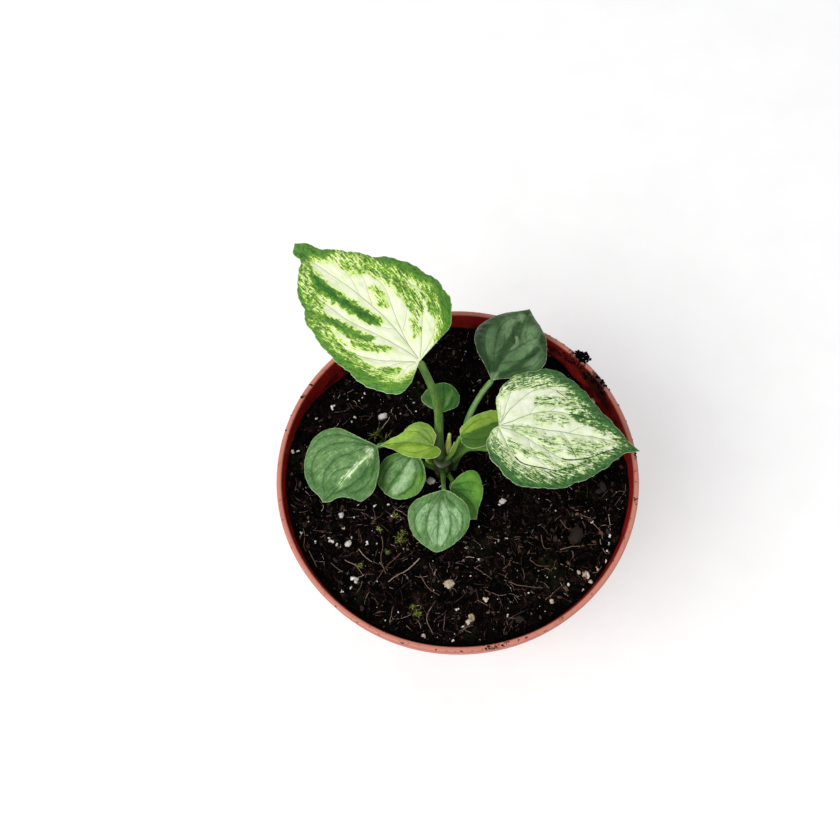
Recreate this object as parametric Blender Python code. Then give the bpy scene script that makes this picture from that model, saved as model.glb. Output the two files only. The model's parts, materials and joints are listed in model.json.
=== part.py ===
"""Potted syngonium: a young, variegated plant growing in a plastic nursery pot.

The model is in metres with +Z up. Its origin is the middle of the pot's underside, and the plant is
seen from the -Y side. The sizes below are in millimetres, and MM turns them into metres.
"""

import math
from typing import NamedTuple

import bmesh
import bpy
import numpy as np
from mathutils import Matrix, Vector

MM = 0.001
GAP = 0.3  # between pieces that touch

# Pot: a 12 cm nursery pot with a thick rim band
POT_HEIGHT = 95.0
RIM_RADIUS = 60.0
LIP_WIDTH = 1.7
BAND_HEIGHT = 8.5
WALL = 1.3
BASE_RADIUS = 41.5
FLOOR = 2.8
PAD_RADIUS = 14.0
FOOT_WIDTH = 5.0
DRAIN_RECESS = 1.4
DRAIN_HOLES = 8
DRAIN_HOLE_RADIUS = 3.5
DRAIN_CIRCLE = 25.0
DRAIN_SLOTS = 4
DRAIN_SLOT_WIDTH = 6.0
ROUND_SIDES = 48

# Potting mix: a level top with hollows against the wall behind the plant
SOIL_LEVEL = 89.2
EDGE_DEPTH = 4.3  # below the rim, where the mix meets the wall
EDGE_HOLLOWS = ((130.0, 17.0, 6.0), (28.0, 21.0, 6.0), (82.0, 20.0, 2.4))  # compass, spread, extra depth
EDGE_SLOPE = 11.0  # how far in from the wall the top slopes
SOIL_RINGS = 11
SOIL_LUMP = 0.55

# Stem: a short stump with its foot and roots in the mix
STEM_X, STEM_Y = -4.5, 3.0
STEM_RADIUS = 3.4
STEM_TOP = 99.2
STEM_FOOT = 66.0
STEM_SIDES = 16
ROOTS = 6
ROOT_RADIUS = 0.9
ROOT_SEED = 4
ROOT_SIDES = 6

# Leaf blades
BLADE = 0.7  # thickness across the blade
CREASE = 2.0  # how far either side of the midrib its fold is rounded
STALK_STATIONS = 9


class Leaf(NamedTuple):
    """One blade and the stalk that carries it.

    The blade lies along its midrib from base to tip. A margin is given from the base to the tip as
    (along the midrib, out from the base-to-tip line), and the two sides may differ.
    """

    name: str
    base: tuple
    heading: float  # degrees, compass of the midrib from +X towards +Y
    pitch: float  # degrees, upwards
    length: float
    left: tuple
    right: tuple
    stalk: tuple  # points from the stem up to the blade's underside
    stalk_radii: tuple  # at the foot and at the blade
    colour: tuple
    stalk_colour: tuple
    rows: int = 16
    columns: int = 3
    bow: float = 0.0  # how far the midrib curves to the left of the line from base to tip
    keel: float = 0.1  # slope of each half, rising away from the midrib
    dome: float = 1.0  # how far the margin droops at the widest place
    droop: float = 1.0  # how far the tip bends down
    wave: float = 0.3  # height of the margin's waves
    waves: float = 3.0
    lobes: float = 0.0  # scallops along each margin
    lobe_depth: float = 0.0


LEAVES = (
    Leaf(
        "leaf_a",
        base=(-10.4, 19.0, 140.0), heading=126.0, pitch=-11.4, length=68.7, bow=-2.4,
        left=((-1, 2.5), (-5.3, 7.5), (-5.2, 11.8), (0, 15.8), (7.5, 18.2), (16, 18.5), (26, 18.3),
              (35, 17.1), (43, 14.1), (51, 10.6), (57.3, 5.4), (60.8, 2.8), (65, 2.8)),
        right=((1.5, -3.2), (1.8, -8), (3.6, -14.5), (9, -19.7), (16, -22.2), (25, -22.8), (33, -20.2),
               (41, -16.6), (49, -11.8), (56, -6.6), (61, -4.3), (65.5, -2.8)),
        stalk=((-5.7, 3.6, 100.4), (-5.5, 7.0, 105.5), (-5.3, 11.6, 116), (-6.8, 15.2, 127),
               (-10.2, 18.8, 139.2)),
        stalk_radii=(1.6, 1.15), colour=(0.42, 0.60, 0.26), stalk_colour=(0.22, 0.36, 0.12),
        rows=30, columns=4, keel=0.10, dome=1.5, droop=3.0, wave=0.8, waves=4.0, lobes=9.0, lobe_depth=0.55,
    ),
    Leaf(
        "leaf_b",
        base=(12.9, 3.3, 124.0), heading=-6.9, pitch=-13.8, length=47.6, bow=1.2,
        left=((-1, 5.5), (-1.1, 9.5), (1, 14), (5.5, 18.5), (11.5, 21), (18.5, 21.8), (24.2, 19.3),
              (30, 14), (35.5, 9.3), (40.3, 5.2), (43.2, 2.6)),
        right=((-2, -1.8), (-3.7, -6), (-2.5, -10.7), (2.3, -16), (8, -18.6), (15, -18.3), (21, -17),
               (27.5, -13.8), (34.7, -8.8), (38.5, -5), (42, -2)),
        stalk=((0.45, 3.25, 97.6), (3.0, 4.5, 103), (6.6, 3.0, 107.8), (10.6, 1.0, 111.6),
               (13.3, 1.3, 116.5), (13.5, 2.3, 120.4), (12.9, 3.1, 122.8)),
        stalk_radii=(1.4, 1.1), colour=(0.50, 0.66, 0.38), stalk_colour=(0.18, 0.34, 0.10),
        rows=30, columns=4, keel=0.08, dome=1.7, droop=3.5, wave=0.5, waves=5.0, lobes=13.0, lobe_depth=0.3,
    ),
    Leaf(
        "leaf_c",
        base=(12.9, 24.4, 112.0), heading=63.2, pitch=-13.5, length=37.4,
        left=((1.5, 1.6), (4, 3.8), (9, 8.5), (15, 12), (21, 13), (27, 10.2), (31.5, 6.2), (35, 2.2)),
        right=((1.5, -2.4), (4, -6), (9, -10.8), (14, -13), (20, -12.4), (26, -10), (30.5, -6.3),
               (34.3, -2.5)),
        stalk=((0.2, 2.0, 91.0), (1.9, 7.5, 97), (4.6, 14.8, 103.6), (9.0, 20.8, 108.7), (12.6, 24.1, 111.5)),
        stalk_radii=(1.15, 0.9), colour=(0.10, 0.26, 0.11), stalk_colour=(0.10, 0.24, 0.12),
        rows=20, keel=0.12, dome=3.0, droop=3.5, wave=0.3,
    ),
    Leaf(
        "leaf_d",
        base=(-25.9, 7.4, 102.5), heading=-140.5, pitch=-13.6, length=25.7,
        left=((0.8, 1.5), (3.5, 5.2), (7, 8), (11.5, 10.5), (16, 9.8), (18, 6.2), (20.5, 3.3), (23.8, 1.8)),
        right=((0.5, -2), (2.3, -6.5), (4.5, -13), (8, -16.2), (13, -17.2), (18.5, -15.5), (23, -12),
               (25.3, -7), (25.2, -2.5)),
        stalk=((-8.5, 4.7, 93.5), (-12.3, 7.9, 98.2), (-18.5, 9.0, 101.3), (-25.4, 7.5, 101.9)),
        stalk_radii=(0.95, 0.8), colour=(0.16, 0.36, 0.15), stalk_colour=(0.14, 0.30, 0.12),
        rows=20, keel=0.15, dome=1.8, droop=2.5, wave=0.5, waves=2.5,
    ),
    Leaf(
        "leaf_e",
        base=(-13.9, 5.7, 98.0), heading=-131.2, pitch=-14.1, length=16.4,
        left=((-0.2, 2.3), (2, 6), (5, 8.5), (9, 9.1), (13, 7.3), (15.7, 3.8)),
        right=((1, -2.7), (4, -5.5), (8, -7.2), (12, -6.6), (15, -4.2)),
        stalk=((-8.55, 1.7, 92.4), (-10.8, 3.0, 94.9), (-13.5, 5.4, 96.8)),
        stalk_radii=(0.8, 0.65), colour=(0.20, 0.42, 0.20), stalk_colour=(0.14, 0.30, 0.12),
        keel=0.08, dome=1.2, droop=1.0, wave=0.2,
    ),
    Leaf(
        "leaf_f",
        base=(-7.5, 2.9, 111.0), heading=170.4, pitch=-11.5, length=17.9,
        left=((-1.2, 0.3), (-2.8, 1.9), (-1.9, 3.9), (1, 4.8), (5, 4.6), (9.5, 3.5), (13.5, 1.3)),
        right=((-0.5, -2), (-0.5, -4), (2, -6.7), (5.5, -7.2), (8.8, -6), (11, -3.7), (14.5, -2.2)),
        stalk=((-8.9, 2.6, 95.6), (-9.6, 2.3, 100.5), (-8.6, 2.7, 106), (-7.9, 2.9, 110.0)),
        stalk_radii=(0.8, 0.65), colour=(0.42, 0.62, 0.14), stalk_colour=(0.30, 0.48, 0.14),
        rows=18, keel=0.35, dome=0.0, droop=1.0, wave=0.2,
    ),
    Leaf(
        "leaf_g",
        base=(1.2, 4.4, 114.0), heading=18.6, pitch=5.3, length=16.3,
        left=((0.8, 2.2), (4, 3.7), (8.5, 4.4), (12.5, 3.9), (15.3, 2.2)),
        right=((-0.4, -2.4), (1.2, -5.4), (5, -6.8), (9, -5.7), (13, -3.2)),
        stalk=((-2.3, 1.9, 99.8), (-1.3, 2.6, 105), (0.3, 3.9, 110.6), (1.1, 4.4, 113.2)),
        stalk_radii=(0.8, 0.65), colour=(0.30, 0.52, 0.13), stalk_colour=(0.26, 0.44, 0.13),
        keel=0.45, dome=0.0, droop=1.0, wave=0.2,
    ),
    Leaf(
        "leaf_h",
        base=(-4.0, 18.9, 101.0), heading=82.5, pitch=5.6, length=10.5,
        left=((0.2, 1.8), (2.3, 5.9), (4.5, 7.1), (7.2, 5.7), (9.5, 3.2)),
        right=((0.2, -1.5), (2, -4.9), (4.6, -5.8), (7.5, -4.9), (9.8, -2.4)),
        stalk=((-4.6, 7.15, 93.0), (-5.1, 11.3, 97.0), (-4.6, 16, 99.5), (-4.1, 18.6, 100.2)),
        stalk_radii=(0.75, 0.6), colour=(0.18, 0.40, 0.15), stalk_colour=(0.16, 0.32, 0.12),
        dome=0.8, droop=0.8, wave=0.2,
    ),
    Leaf(
        "leaf_i",
        base=(-4.9, -9.1, 103.0), heading=-101.0, pitch=-18.7, length=20.4,
        left=((0.4, 1.9), (2, 5.3), (4.5, 8.3), (8.5, 9.5), (12.5, 8.7), (16.5, 5.8), (19.2, 2.6)),
        right=((0.9, -2), (2.8, -6), (5.5, -9.5), (9.5, -10.5), (14, -9.1), (17.5, -6), (19.7, -2.1)),
        stalk=((-4.7, -1.35, 94.2), (-4.8, -4.4, 98.2), (-4.9, -7.2, 101.0), (-4.9, -8.9, 102.0)),
        stalk_radii=(0.85, 0.7), colour=(0.24, 0.46, 0.24), stalk_colour=(0.18, 0.36, 0.16),
        rows=18, keel=0.10, dome=1.3, droop=1.8, wave=0.3,
    ),
    Leaf(
        "leaf_j",
        base=(-2.6, -7.4, 100.0), heading=-51.4, pitch=-17.4, length=13.5,
        left=((-0.7, 1.3), (-1, 5.5), (0.5, 9.2), (4, 9.5), (8, 7.3), (11.6, 2.2)),
        right=((1.3, -1.6), (4, -4.3), (8, -4.8), (11.5, -2.4)),
        stalk=((-2.5, -0.7, 92.2), (-1.8, -3.8, 95.6), (-2.2, -6.0, 98.0), (-2.5, -7.2, 98.8)),
        stalk_radii=(0.8, 0.65), colour=(0.28, 0.52, 0.16), stalk_colour=(0.22, 0.40, 0.14),
        keel=0.15, dome=0.8, droop=1.0, wave=0.2,
    ),
)

# Rolled young leaf, standing on the stem's top
SHOOT = ((-2.6, 4.9, 99.8), (-2.5, 5.8, 102), (-2.3, 7.0, 105), (-2.0, 7.9, 108.4))
SHOOT_RADII = (0.75, 0.2)

# Loose pieces lying on the mix: name, place (x, y), size (along, across, thick), compass, kind
LOOSE_PIECES = (
    ("perlite_1", (-23.9, 23.3), (3.6, 2.2, 1.7), 25.0, "perlite"),
    ("perlite_2", (-8.9, -1.2), (2.8, 2.4, 1.8), 0.0, "perlite"),
    ("perlite_3", (-37.0, -21.5), (2.4, 2.0, 1.6), 40.0, "perlite"),
    ("perlite_4", (14.5, -10.2), (2.2, 1.9, 1.6), 0.0, "perlite"),
    ("perlite_5", (-39.0, -11.5), (2.0, 1.7, 1.4), 70.0, "perlite"),
    ("bark_chip_1", (37.6, -22.8), (5.6, 4.2, 1.2), 60.0, "bark"),
    ("bark_chip_2", (-5.0, -36.6), (3.6, 2.8, 1.2), 20.0, "bark"),
    ("bark_chip_3", (1.4, -48.4), (3.0, 2.0, 1.1), 80.0, "bark"),
    ("bark_chip_4", (2.6, -2.4), (3.2, 1.9, 1.1), -15.0, "bark"),
)
SEAT_MARGIN = 2.0  # how far round a loose piece the mix is pressed flat
SEAT_GAP = 0.35


def clear_scene():
    for thing in list(bpy.data.objects):
        bpy.data.objects.remove(thing)


def material(name, colour, roughness):
    made = bpy.data.materials.new(name)
    made.use_nodes = True
    shader = made.node_tree.nodes["Principled BSDF"]
    shader.inputs["Base Color"].default_value = (*colour, 1.0)
    shader.inputs["Roughness"].default_value = roughness
    return made


def add_object(name, data, finish):
    made = bpy.data.objects.new(name, data)
    made.data.materials.append(finish)
    bpy.context.scene.collection.objects.link(made)
    return made


def mesh_from(shape, name):
    """Turns a bmesh, built in millimetres, into a mesh in metres whose faces point out."""
    bmesh.ops.recalc_face_normals(shape, faces=shape.faces)
    if shape.calc_volume(signed=True) < 0:
        bmesh.ops.reverse_faces(shape, faces=shape.faces)
    bmesh.ops.scale(shape, vec=Vector((MM, MM, MM)), verts=shape.verts)
    mesh = bpy.data.meshes.new(name)
    shape.to_mesh(mesh)
    shape.free()
    return mesh


def smooth_path(points, count):
    """count points at even steps along a smooth curve through the given ones."""
    given = np.array(points, float)
    ends = np.vstack([2 * given[0] - given[1], given, 2 * given[-1] - given[-2]])
    steps = np.linspace(0, 1, 17)[:, None]
    runs = []
    for before, start, end, after in zip(ends, ends[1:], ends[2:], ends[3:]):
        runs.append(
            0.5 * (2 * start + (end - before) * steps
                   + (2 * before - 5 * start + 4 * end - after) * steps**2
                   + (3 * start - before - 3 * end + after) * steps**3)
        )
    dense = np.vstack(runs)
    travelled = np.concatenate([[0], np.cumsum(np.linalg.norm(np.diff(dense, axis=0), axis=1))])
    even = np.linspace(0, travelled[-1], count)
    return np.stack([np.interp(even, travelled, dense[:, axis]) for axis in range(dense.shape[1])], 1)


def lathe(profile, sides, name, centre=(0.0, 0.0)):
    """A turned mesh from a profile of (radius, height) that starts and ends on the axis."""
    shape = bmesh.new()
    points = [shape.verts.new((centre[0] + radius, centre[1], height)) for radius, height in profile]
    edges = [shape.edges.new(pair) for pair in zip(points, points[1:])]
    bmesh.ops.spin(
        shape, geom=points + edges, cent=(*centre, 0), axis=(0, 0, 1),
        angle=math.tau, steps=sides, use_merge=True,
    )
    bmesh.ops.remove_doubles(shape, verts=shape.verts, dist=0.001)
    return mesh_from(shape, name)


def tube_mesh(points, radii, sides, name):
    """A closed tube along the points, its radius running evenly from the first value to the last."""
    shape = bmesh.new()
    path = [Vector(point) for point in points]
    rings = []
    for index, point in enumerate(path):
        ahead = path[min(index + 1, len(path) - 1)] - path[max(index - 1, 0)]
        turn = ahead.to_track_quat("Z", "Y")
        radius = radii[0] + (radii[1] - radii[0]) * index / (len(path) - 1)
        ring = []
        for side in range(sides):
            angle = math.tau * side / sides
            spoke = Vector((radius * math.cos(angle), radius * math.sin(angle), 0))
            ring.append(shape.verts.new(point + turn @ spoke))
        rings.append(ring)
    for lower, upper in zip(rings, rings[1:]):
        for side in range(sides):
            nearby = (side + 1) % sides
            shape.faces.new((lower[side], lower[nearby], upper[nearby], upper[side]))
    shape.faces.new(rings[0])
    shape.faces.new(rings[-1])
    return mesh_from(shape, name)


def boolean(target, others, operation, solver="EXACT"):
    """Joins or cuts the target with the other objects, applies that and removes them."""
    group = bpy.data.collections.new(target.name + "_tools")
    for other in others:
        group.objects.link(other)
    step = target.modifiers.new(operation.lower(), "BOOLEAN")
    step.operand_type = "COLLECTION"
    step.collection = group
    step.operation = operation
    step.solver = solver
    graph = bpy.context.evaluated_depsgraph_get()
    result = bpy.data.meshes.new_from_object(target.evaluated_get(graph))
    target.modifiers.clear()
    target.data = result
    for other in others:
        bpy.data.objects.remove(other)
    bpy.data.collections.remove(group)


def inner_radius(height):
    """Radius of the pot's inner wall, which tapers evenly down to the floor."""
    at_rim = RIM_RADIUS - LIP_WIDTH
    at_floor = BASE_RADIUS - WALL
    return at_floor + (at_rim - at_floor) * (height - FLOOR) / (POT_HEIGHT - FLOOR)


def build_pot():
    outer = WALL / math.cos(math.atan((RIM_RADIUS - BASE_RADIUS) / POT_HEIGHT))
    band_foot = POT_HEIGHT - BAND_HEIGHT
    foot_inner = BASE_RADIUS - FOOT_WIDTH
    profile = (
        (0, 0),
        (PAD_RADIUS, 0),
        (PAD_RADIUS + 1, DRAIN_RECESS),
        (foot_inner - 1, DRAIN_RECESS),
        (foot_inner, 0),
        (BASE_RADIUS - 0.8, 0),
        (inner_radius(FLOOR) + outer, 1.0),
        (inner_radius(band_foot) + outer, band_foot),
        (RIM_RADIUS - 0.9, band_foot + 0.6),
        (RIM_RADIUS - 0.6, band_foot + 1.4),
        (RIM_RADIUS, POT_HEIGHT - 1.3),
        (RIM_RADIUS - 0.15, POT_HEIGHT - 0.4),
        (RIM_RADIUS - 0.5, POT_HEIGHT),
        (RIM_RADIUS - LIP_WIDTH + 0.4, POT_HEIGHT),
        (inner_radius(POT_HEIGHT - 0.5), POT_HEIGHT - 0.5),
        (inner_radius(FLOOR), FLOOR),
        (0, FLOOR),
    )
    finish = material("orange_plastic", (0.60, 0.20, 0.13), 0.45)
    pot = add_object("pot", lathe(profile, ROUND_SIDES, "pot"), finish)
    cutters = []
    for index in range(DRAIN_HOLES):
        angle = math.tau * (index + 0.5) / DRAIN_HOLES
        centre = (DRAIN_CIRCLE * math.cos(angle), DRAIN_CIRCLE * math.sin(angle))
        drill = ((0, -1), (DRAIN_HOLE_RADIUS, -1), (DRAIN_HOLE_RADIUS, FLOOR + 1), (0, FLOOR + 1))
        cutters.append(bpy.data.objects.new("drill", lathe(drill, 12, "drill", centre)))
    for index in range(DRAIN_SLOTS):
        cutters.append(bpy.data.objects.new("slot", slot_mesh(math.tau * index / DRAIN_SLOTS)))
    boolean(pot, cutters, "DIFFERENCE")
    pot.data.shade_smooth()
    pot.data.set_sharp_from_angle(angle=math.radians(35))
    return pot


def slot_mesh(angle):
    """A block that lets water out under the pot's foot, in the direction of the angle."""
    shape = bmesh.new()
    bmesh.ops.create_cube(shape, size=1)
    reach = FOOT_WIDTH + 4
    bmesh.ops.scale(shape, vec=(reach, DRAIN_SLOT_WIDTH, 2 * DRAIN_RECESS), verts=shape.verts)
    bmesh.ops.translate(shape, vec=(BASE_RADIUS - FOOT_WIDTH / 2, 0, 0), verts=shape.verts)
    bmesh.ops.rotate(shape, cent=(0, 0, 0), matrix=Matrix.Rotation(angle, 3, "Z"), verts=shape.verts)
    return mesh_from(shape, "slot")


def soil_height(x, y):
    """Height of the potting mix before loose pieces press on it."""
    out = math.hypot(x, y)
    compass = math.degrees(math.atan2(y, x))
    depth = EDGE_DEPTH
    for middle, spread, extra in EDGE_HOLLOWS:
        off = (compass - middle + 180) % 360 - 180
        depth += extra * math.exp(-((off / spread) ** 2))
    lumps = (
        math.sin(0.31 * x + 0.9) * math.cos(0.27 * y - 0.4)
        + 0.6 * math.sin(0.53 * y + 0.35 * x + 2.0)
        + 0.4 * math.cos(0.71 * x - 0.48 * y)
    )
    level = SOIL_LEVEL + SOIL_LUMP * lumps
    near_wall = min(max((out - (inner_radius(SOIL_LEVEL) - EDGE_SLOPE)) / EDGE_SLOPE, 0), 1)
    near_wall = near_wall * near_wall * (3 - 2 * near_wall)
    return level + (POT_HEIGHT - depth - level) * near_wall


def seat_height(place):
    return soil_height(*place) - 0.2


def pressed_height(x, y):
    """Height of the potting mix, flat under each loose piece and round the stem."""
    height = soil_height(x, y)
    seats = [((STEM_X, STEM_Y), STEM_RADIUS + 2)]
    seats += [(place, max(size[:2]) / 2 + SEAT_MARGIN) for _, place, size, _, _ in LOOSE_PIECES]
    for place, reach in seats:
        away = math.hypot(x - place[0], y - place[1])
        blend = min(max((away - reach) / 3.0, 0), 1)
        height = seat_height(place) + (height - seat_height(place)) * blend
    return height


def build_soil(stem_cutters):
    """The mix fills the pot to just inside its wall, and the stem and roots stand in plain holes."""
    shape = bmesh.new()
    side_heights = (FLOOR + GAP, 30.0, 60.0)
    columns = []
    for side in range(ROUND_SIDES):
        angle = math.tau * side / ROUND_SIDES
        way = (math.cos(angle), math.sin(angle))
        reach = inner_radius(POT_HEIGHT - EDGE_DEPTH) - GAP
        edge = soil_height(reach * way[0], reach * way[1])
        column = [shape.verts.new((0.96 * (inner_radius(FLOOR) - GAP) * way[0],
                                   0.96 * (inner_radius(FLOOR) - GAP) * way[1], FLOOR + GAP))]
        for height in (*side_heights[1:], edge):
            radius = inner_radius(height) - 1.2 * GAP
            column.append(shape.verts.new((radius * way[0], radius * way[1], height)))
        rim = inner_radius(edge) - 1.2 * GAP
        for ring in range(1, SOIL_RINGS):
            radius = rim * (1 - ring / SOIL_RINGS)
            x, y = radius * way[0], radius * way[1]
            column.append(shape.verts.new((x, y, pressed_height(x, y))))
        columns.append(column)
    bottom = shape.verts.new((0, 0, FLOOR + GAP))
    top = shape.verts.new((0, 0, pressed_height(0, 0)))
    for column, nearby in zip(columns, columns[1:] + columns[:1]):
        shape.faces.new((bottom, column[0], nearby[0]))
        for low in range(len(column) - 1):
            shape.faces.new((column[low], column[low + 1], nearby[low + 1], nearby[low]))
        shape.faces.new((column[-1], top, nearby[-1]))
    bmesh.ops.triangulate(shape, faces=shape.faces)
    soil = add_object("soil", mesh_from(shape, "soil"), material("potting_mix", (0.045, 0.028, 0.02), 0.95))
    boolean(soil, stem_cutters, "DIFFERENCE")
    soil.data.shade_smooth()
    soil.data.set_sharp_from_angle(angle=math.radians(40))
    return soil


def stem_pieces(extra):
    """The stump and its roots as separate closed objects, every surface moved out by extra."""
    profile = (
        (0, STEM_FOOT - extra),
        (1.8 + extra, STEM_FOOT + 0.4 - extra),
        (2.8 + extra, STEM_FOOT + 4),
        (STEM_RADIUS - 0.3 + extra, STEM_FOOT + 14),
        (STEM_RADIUS - 0.1 + extra, SOIL_LEVEL + 0.5),
        (STEM_RADIUS + extra, SOIL_LEVEL + 2),
        (STEM_RADIUS - 0.2 + extra, SOIL_LEVEL + 4),
        (STEM_RADIUS + extra, SOIL_LEVEL + 6.5),
        (STEM_RADIUS - 0.1 + extra, STEM_TOP - 0.6),
        (STEM_RADIUS - 0.4 + extra, STEM_TOP + extra),
        (0, STEM_TOP + extra),
    )
    pieces = [bpy.data.objects.new("stump", lathe(profile, STEM_SIDES, "stump", (STEM_X, STEM_Y)))]
    chance = np.random.default_rng(ROOT_SEED)
    for index in range(ROOTS):
        compass = math.tau * (index + chance.uniform(-0.2, 0.2)) / ROOTS
        way = np.array([math.cos(compass), math.sin(compass)])
        start = STEM_FOOT + 3 + 1.6 * index
        reach, drop = chance.uniform(20, 27), chance.uniform(18, 30)
        bend = np.array([-way[1], way[0]]) * chance.uniform(-4, 4)
        foot = np.array([STEM_X, STEM_Y])
        route = [
            (*(foot + way), start),
            (*(foot + 8 * way), start - 0.15 * drop),
            (*(foot + 0.65 * reach * way + bend), start - 0.5 * drop),
            (*(foot + reach * way), start - drop),
        ]
        path = smooth_path(route, 7)
        path[-1] += extra * (path[-1] - path[-2]) / np.linalg.norm(path[-1] - path[-2])
        radii = (ROOT_RADIUS + 1.2 * extra, 0.5 * ROOT_RADIUS + 1.2 * extra)
        pieces.append(bpy.data.objects.new("root", tube_mesh(path, radii, ROOT_SIDES, "root")))
    return pieces


def build_stem():
    pieces = stem_pieces(0.0)
    stem = add_object("stem_and_roots", pieces[0].data, material("stem_green", (0.13, 0.22, 0.08), 0.6))
    bpy.data.objects.remove(pieces[0])
    boolean(stem, pieces[1:], "UNION")
    return stem


def midrib(leaf, share):
    """Point on the midrib, in the blade's plane, at a share of its length."""
    return np.array([leaf.length * share, leaf.bow * math.sin(math.pi * share)])


def relief(leaf, along, across):
    """Height of the blade's middle surface above its plane."""
    half_width = max(abs(point[1]) for point in leaf.left + leaf.right)
    fold = math.hypot(across, CREASE) - CREASE
    bend = (along / leaf.length) ** 2 * (1 if along > 0 else -1)
    return leaf.keel * fold - leaf.dome * (across / half_width) ** 2 - leaf.droop * bend


def margin(leaf, side):
    """Scalloped margin of one side, from base to tip, one point a row."""
    tip = (leaf.length, 0.0)
    outline = smooth_path([(0.0, 0.0), *side, tip], leaf.rows * 6 + 1)
    step = np.gradient(outline, axis=0)
    outward = np.stack([-step[:, 1], step[:, 0]], 1) / np.linalg.norm(step, axis=1)[:, None]
    if side is leaf.right:
        outward = -outward
    share = np.linspace(0, 1, len(outline))
    fade = np.clip(np.minimum(share, 1 - share) * 8, 0, 1)
    scallop = leaf.lobe_depth * (np.abs(np.sin(math.pi * leaf.lobes * share)) - 0.6) * fade
    return (outline + outward * scallop[:, None])[::6]


def blade_axes(leaf):
    heading, pitch = math.radians(leaf.heading), math.radians(leaf.pitch)
    level = Vector((math.cos(heading), math.sin(heading), 0))
    forward = level * math.cos(pitch) + Vector((0, 0, math.sin(pitch)))
    left = Vector((-math.sin(heading), math.cos(heading), 0))
    return forward, left, forward.cross(left)


def build_blade(leaf):
    """Rows run from the midrib to the margin, and fan out round the base to fill the lobes."""
    forward, left, up = blade_axes(leaf)
    base = Vector(leaf.base)
    shape = bmesh.new()

    def vertex(along, across, lift):
        height = relief(leaf, along, across) + lift
        return shape.verts.new(base + forward * along + left * across + up * height)

    sheets = []
    for level in (0.5 * BLADE, -0.5 * BLADE):
        for side in (leaf.left, leaf.right):
            edge = margin(leaf, side)
            grid = []
            for row in range(leaf.rows + 1):
                share = row / leaf.rows
                start = midrib(leaf, max(0.0, (share - 0.2) / 0.8) ** 1.25)
                ripple = leaf.wave * math.sin(math.tau * leaf.waves * share) * math.sin(math.pi * share)
                line = []
                for column in range(leaf.columns + 1):
                    out = column / leaf.columns
                    place = start + (edge[row] - start) * out
                    line.append(vertex(place[0], place[1], level + ripple * out * out))
                grid.append(line)
            for near, far in zip(grid, grid[1:]):
                for column in range(leaf.columns):
                    corners = (near[column], near[column + 1], far[column + 1], far[column])
                    shape.faces.new((corners[0], corners[1], corners[2]))
                    shape.faces.new((corners[0], corners[2], corners[3]))
            sheets.append(grid)
    for upper, lower in zip(sheets[:2], sheets[2:]):
        for row in range(leaf.rows):
            here, there = upper[row][-1], upper[row + 1][-1]
            under, ahead = lower[row][-1], lower[row + 1][-1]
            shape.faces.new((here, there, ahead))
            shape.faces.new((here, ahead, under))
    bmesh.ops.remove_doubles(shape, verts=shape.verts, dist=0.001)
    finish = material(leaf.name + "_green", leaf.colour, 0.45)
    blade = add_object(leaf.name + "_blade", mesh_from(shape, leaf.name), finish)
    blade.data.shade_smooth()
    blade.data.set_sharp_from_angle(angle=math.radians(50))
    return blade


def build_stalk(name, points, radii, colour):
    """A tapering round stalk, as a bevelled curve with closed ends."""
    curve = bpy.data.curves.new(name, "CURVE")
    curve.dimensions = "3D"
    curve.bevel_depth = radii[0] * MM
    curve.bevel_resolution = 2
    curve.use_fill_caps = True
    spline = curve.splines.new("POLY")
    route = smooth_path(points, STALK_STATIONS)
    spline.points.add(len(route) - 1)
    for index, (point, place) in enumerate(zip(spline.points, route)):
        point.co = (*(place * MM), 1.0)
        share = index / (len(route) - 1)
        point.radius = 1 + (radii[1] / radii[0] - 1) * share
    return add_object(name, curve, material(name + "_green", colour, 0.5))


def build_loose_piece(name, place, size, compass, kind):
    """A lumpy perlite grain or a flat bark chip, resting on its flat underside."""
    shape = bmesh.new()
    bmesh.ops.create_icosphere(shape, subdivisions=1 if kind == "bark" else 2, radius=0.5)
    chance = np.random.default_rng(sum(ord(letter) for letter in name))
    for point in shape.verts:
        point.co *= 1 + chance.uniform(-0.12, 0.12)
        point.co.z = max(point.co.z, -0.3)
    lowest = min(point.co.z for point in shape.verts)
    bmesh.ops.scale(shape, vec=size, verts=shape.verts)
    turn = Matrix.Rotation(math.radians(compass), 3, "Z")
    bmesh.ops.rotate(shape, cent=(0, 0, 0), matrix=turn, verts=shape.verts)
    rest = seat_height(place) + SEAT_GAP - lowest * size[2]
    bmesh.ops.translate(shape, vec=(*place, rest), verts=shape.verts)
    colours = {"perlite": (0.80, 0.78, 0.72), "bark": (0.30, 0.20, 0.13)}
    add_object(name, mesh_from(shape, name), material(name + "_finish", colours[kind], 0.9))


def build_plant_and_pot():
    clear_scene()
    build_pot()
    build_soil(stem_pieces(GAP))
    build_stem()
    for leaf in LEAVES:
        build_blade(leaf)
        build_stalk(leaf.name + "_stalk", leaf.stalk, leaf.stalk_radii, leaf.stalk_colour)
    build_stalk("new_shoot", SHOOT, SHOOT_RADII, (0.45, 0.58, 0.20))
    for piece in LOOSE_PIECES:
        build_loose_piece(*piece)


build_plant_and_pot()
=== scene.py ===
"""Looks of the potted syngonium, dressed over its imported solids.

Lengths are in millimetres, and MM turns them into metres. A blade is worked out in its own plane: u runs
along the midrib from base to tip, and v runs out to the left. Colours are sRGB, from 0 to 255.
"""

import json
import math
from typing import NamedTuple

import bmesh
import bpy
import numpy as np
from mathutils import Matrix, Vector, noise

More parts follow.
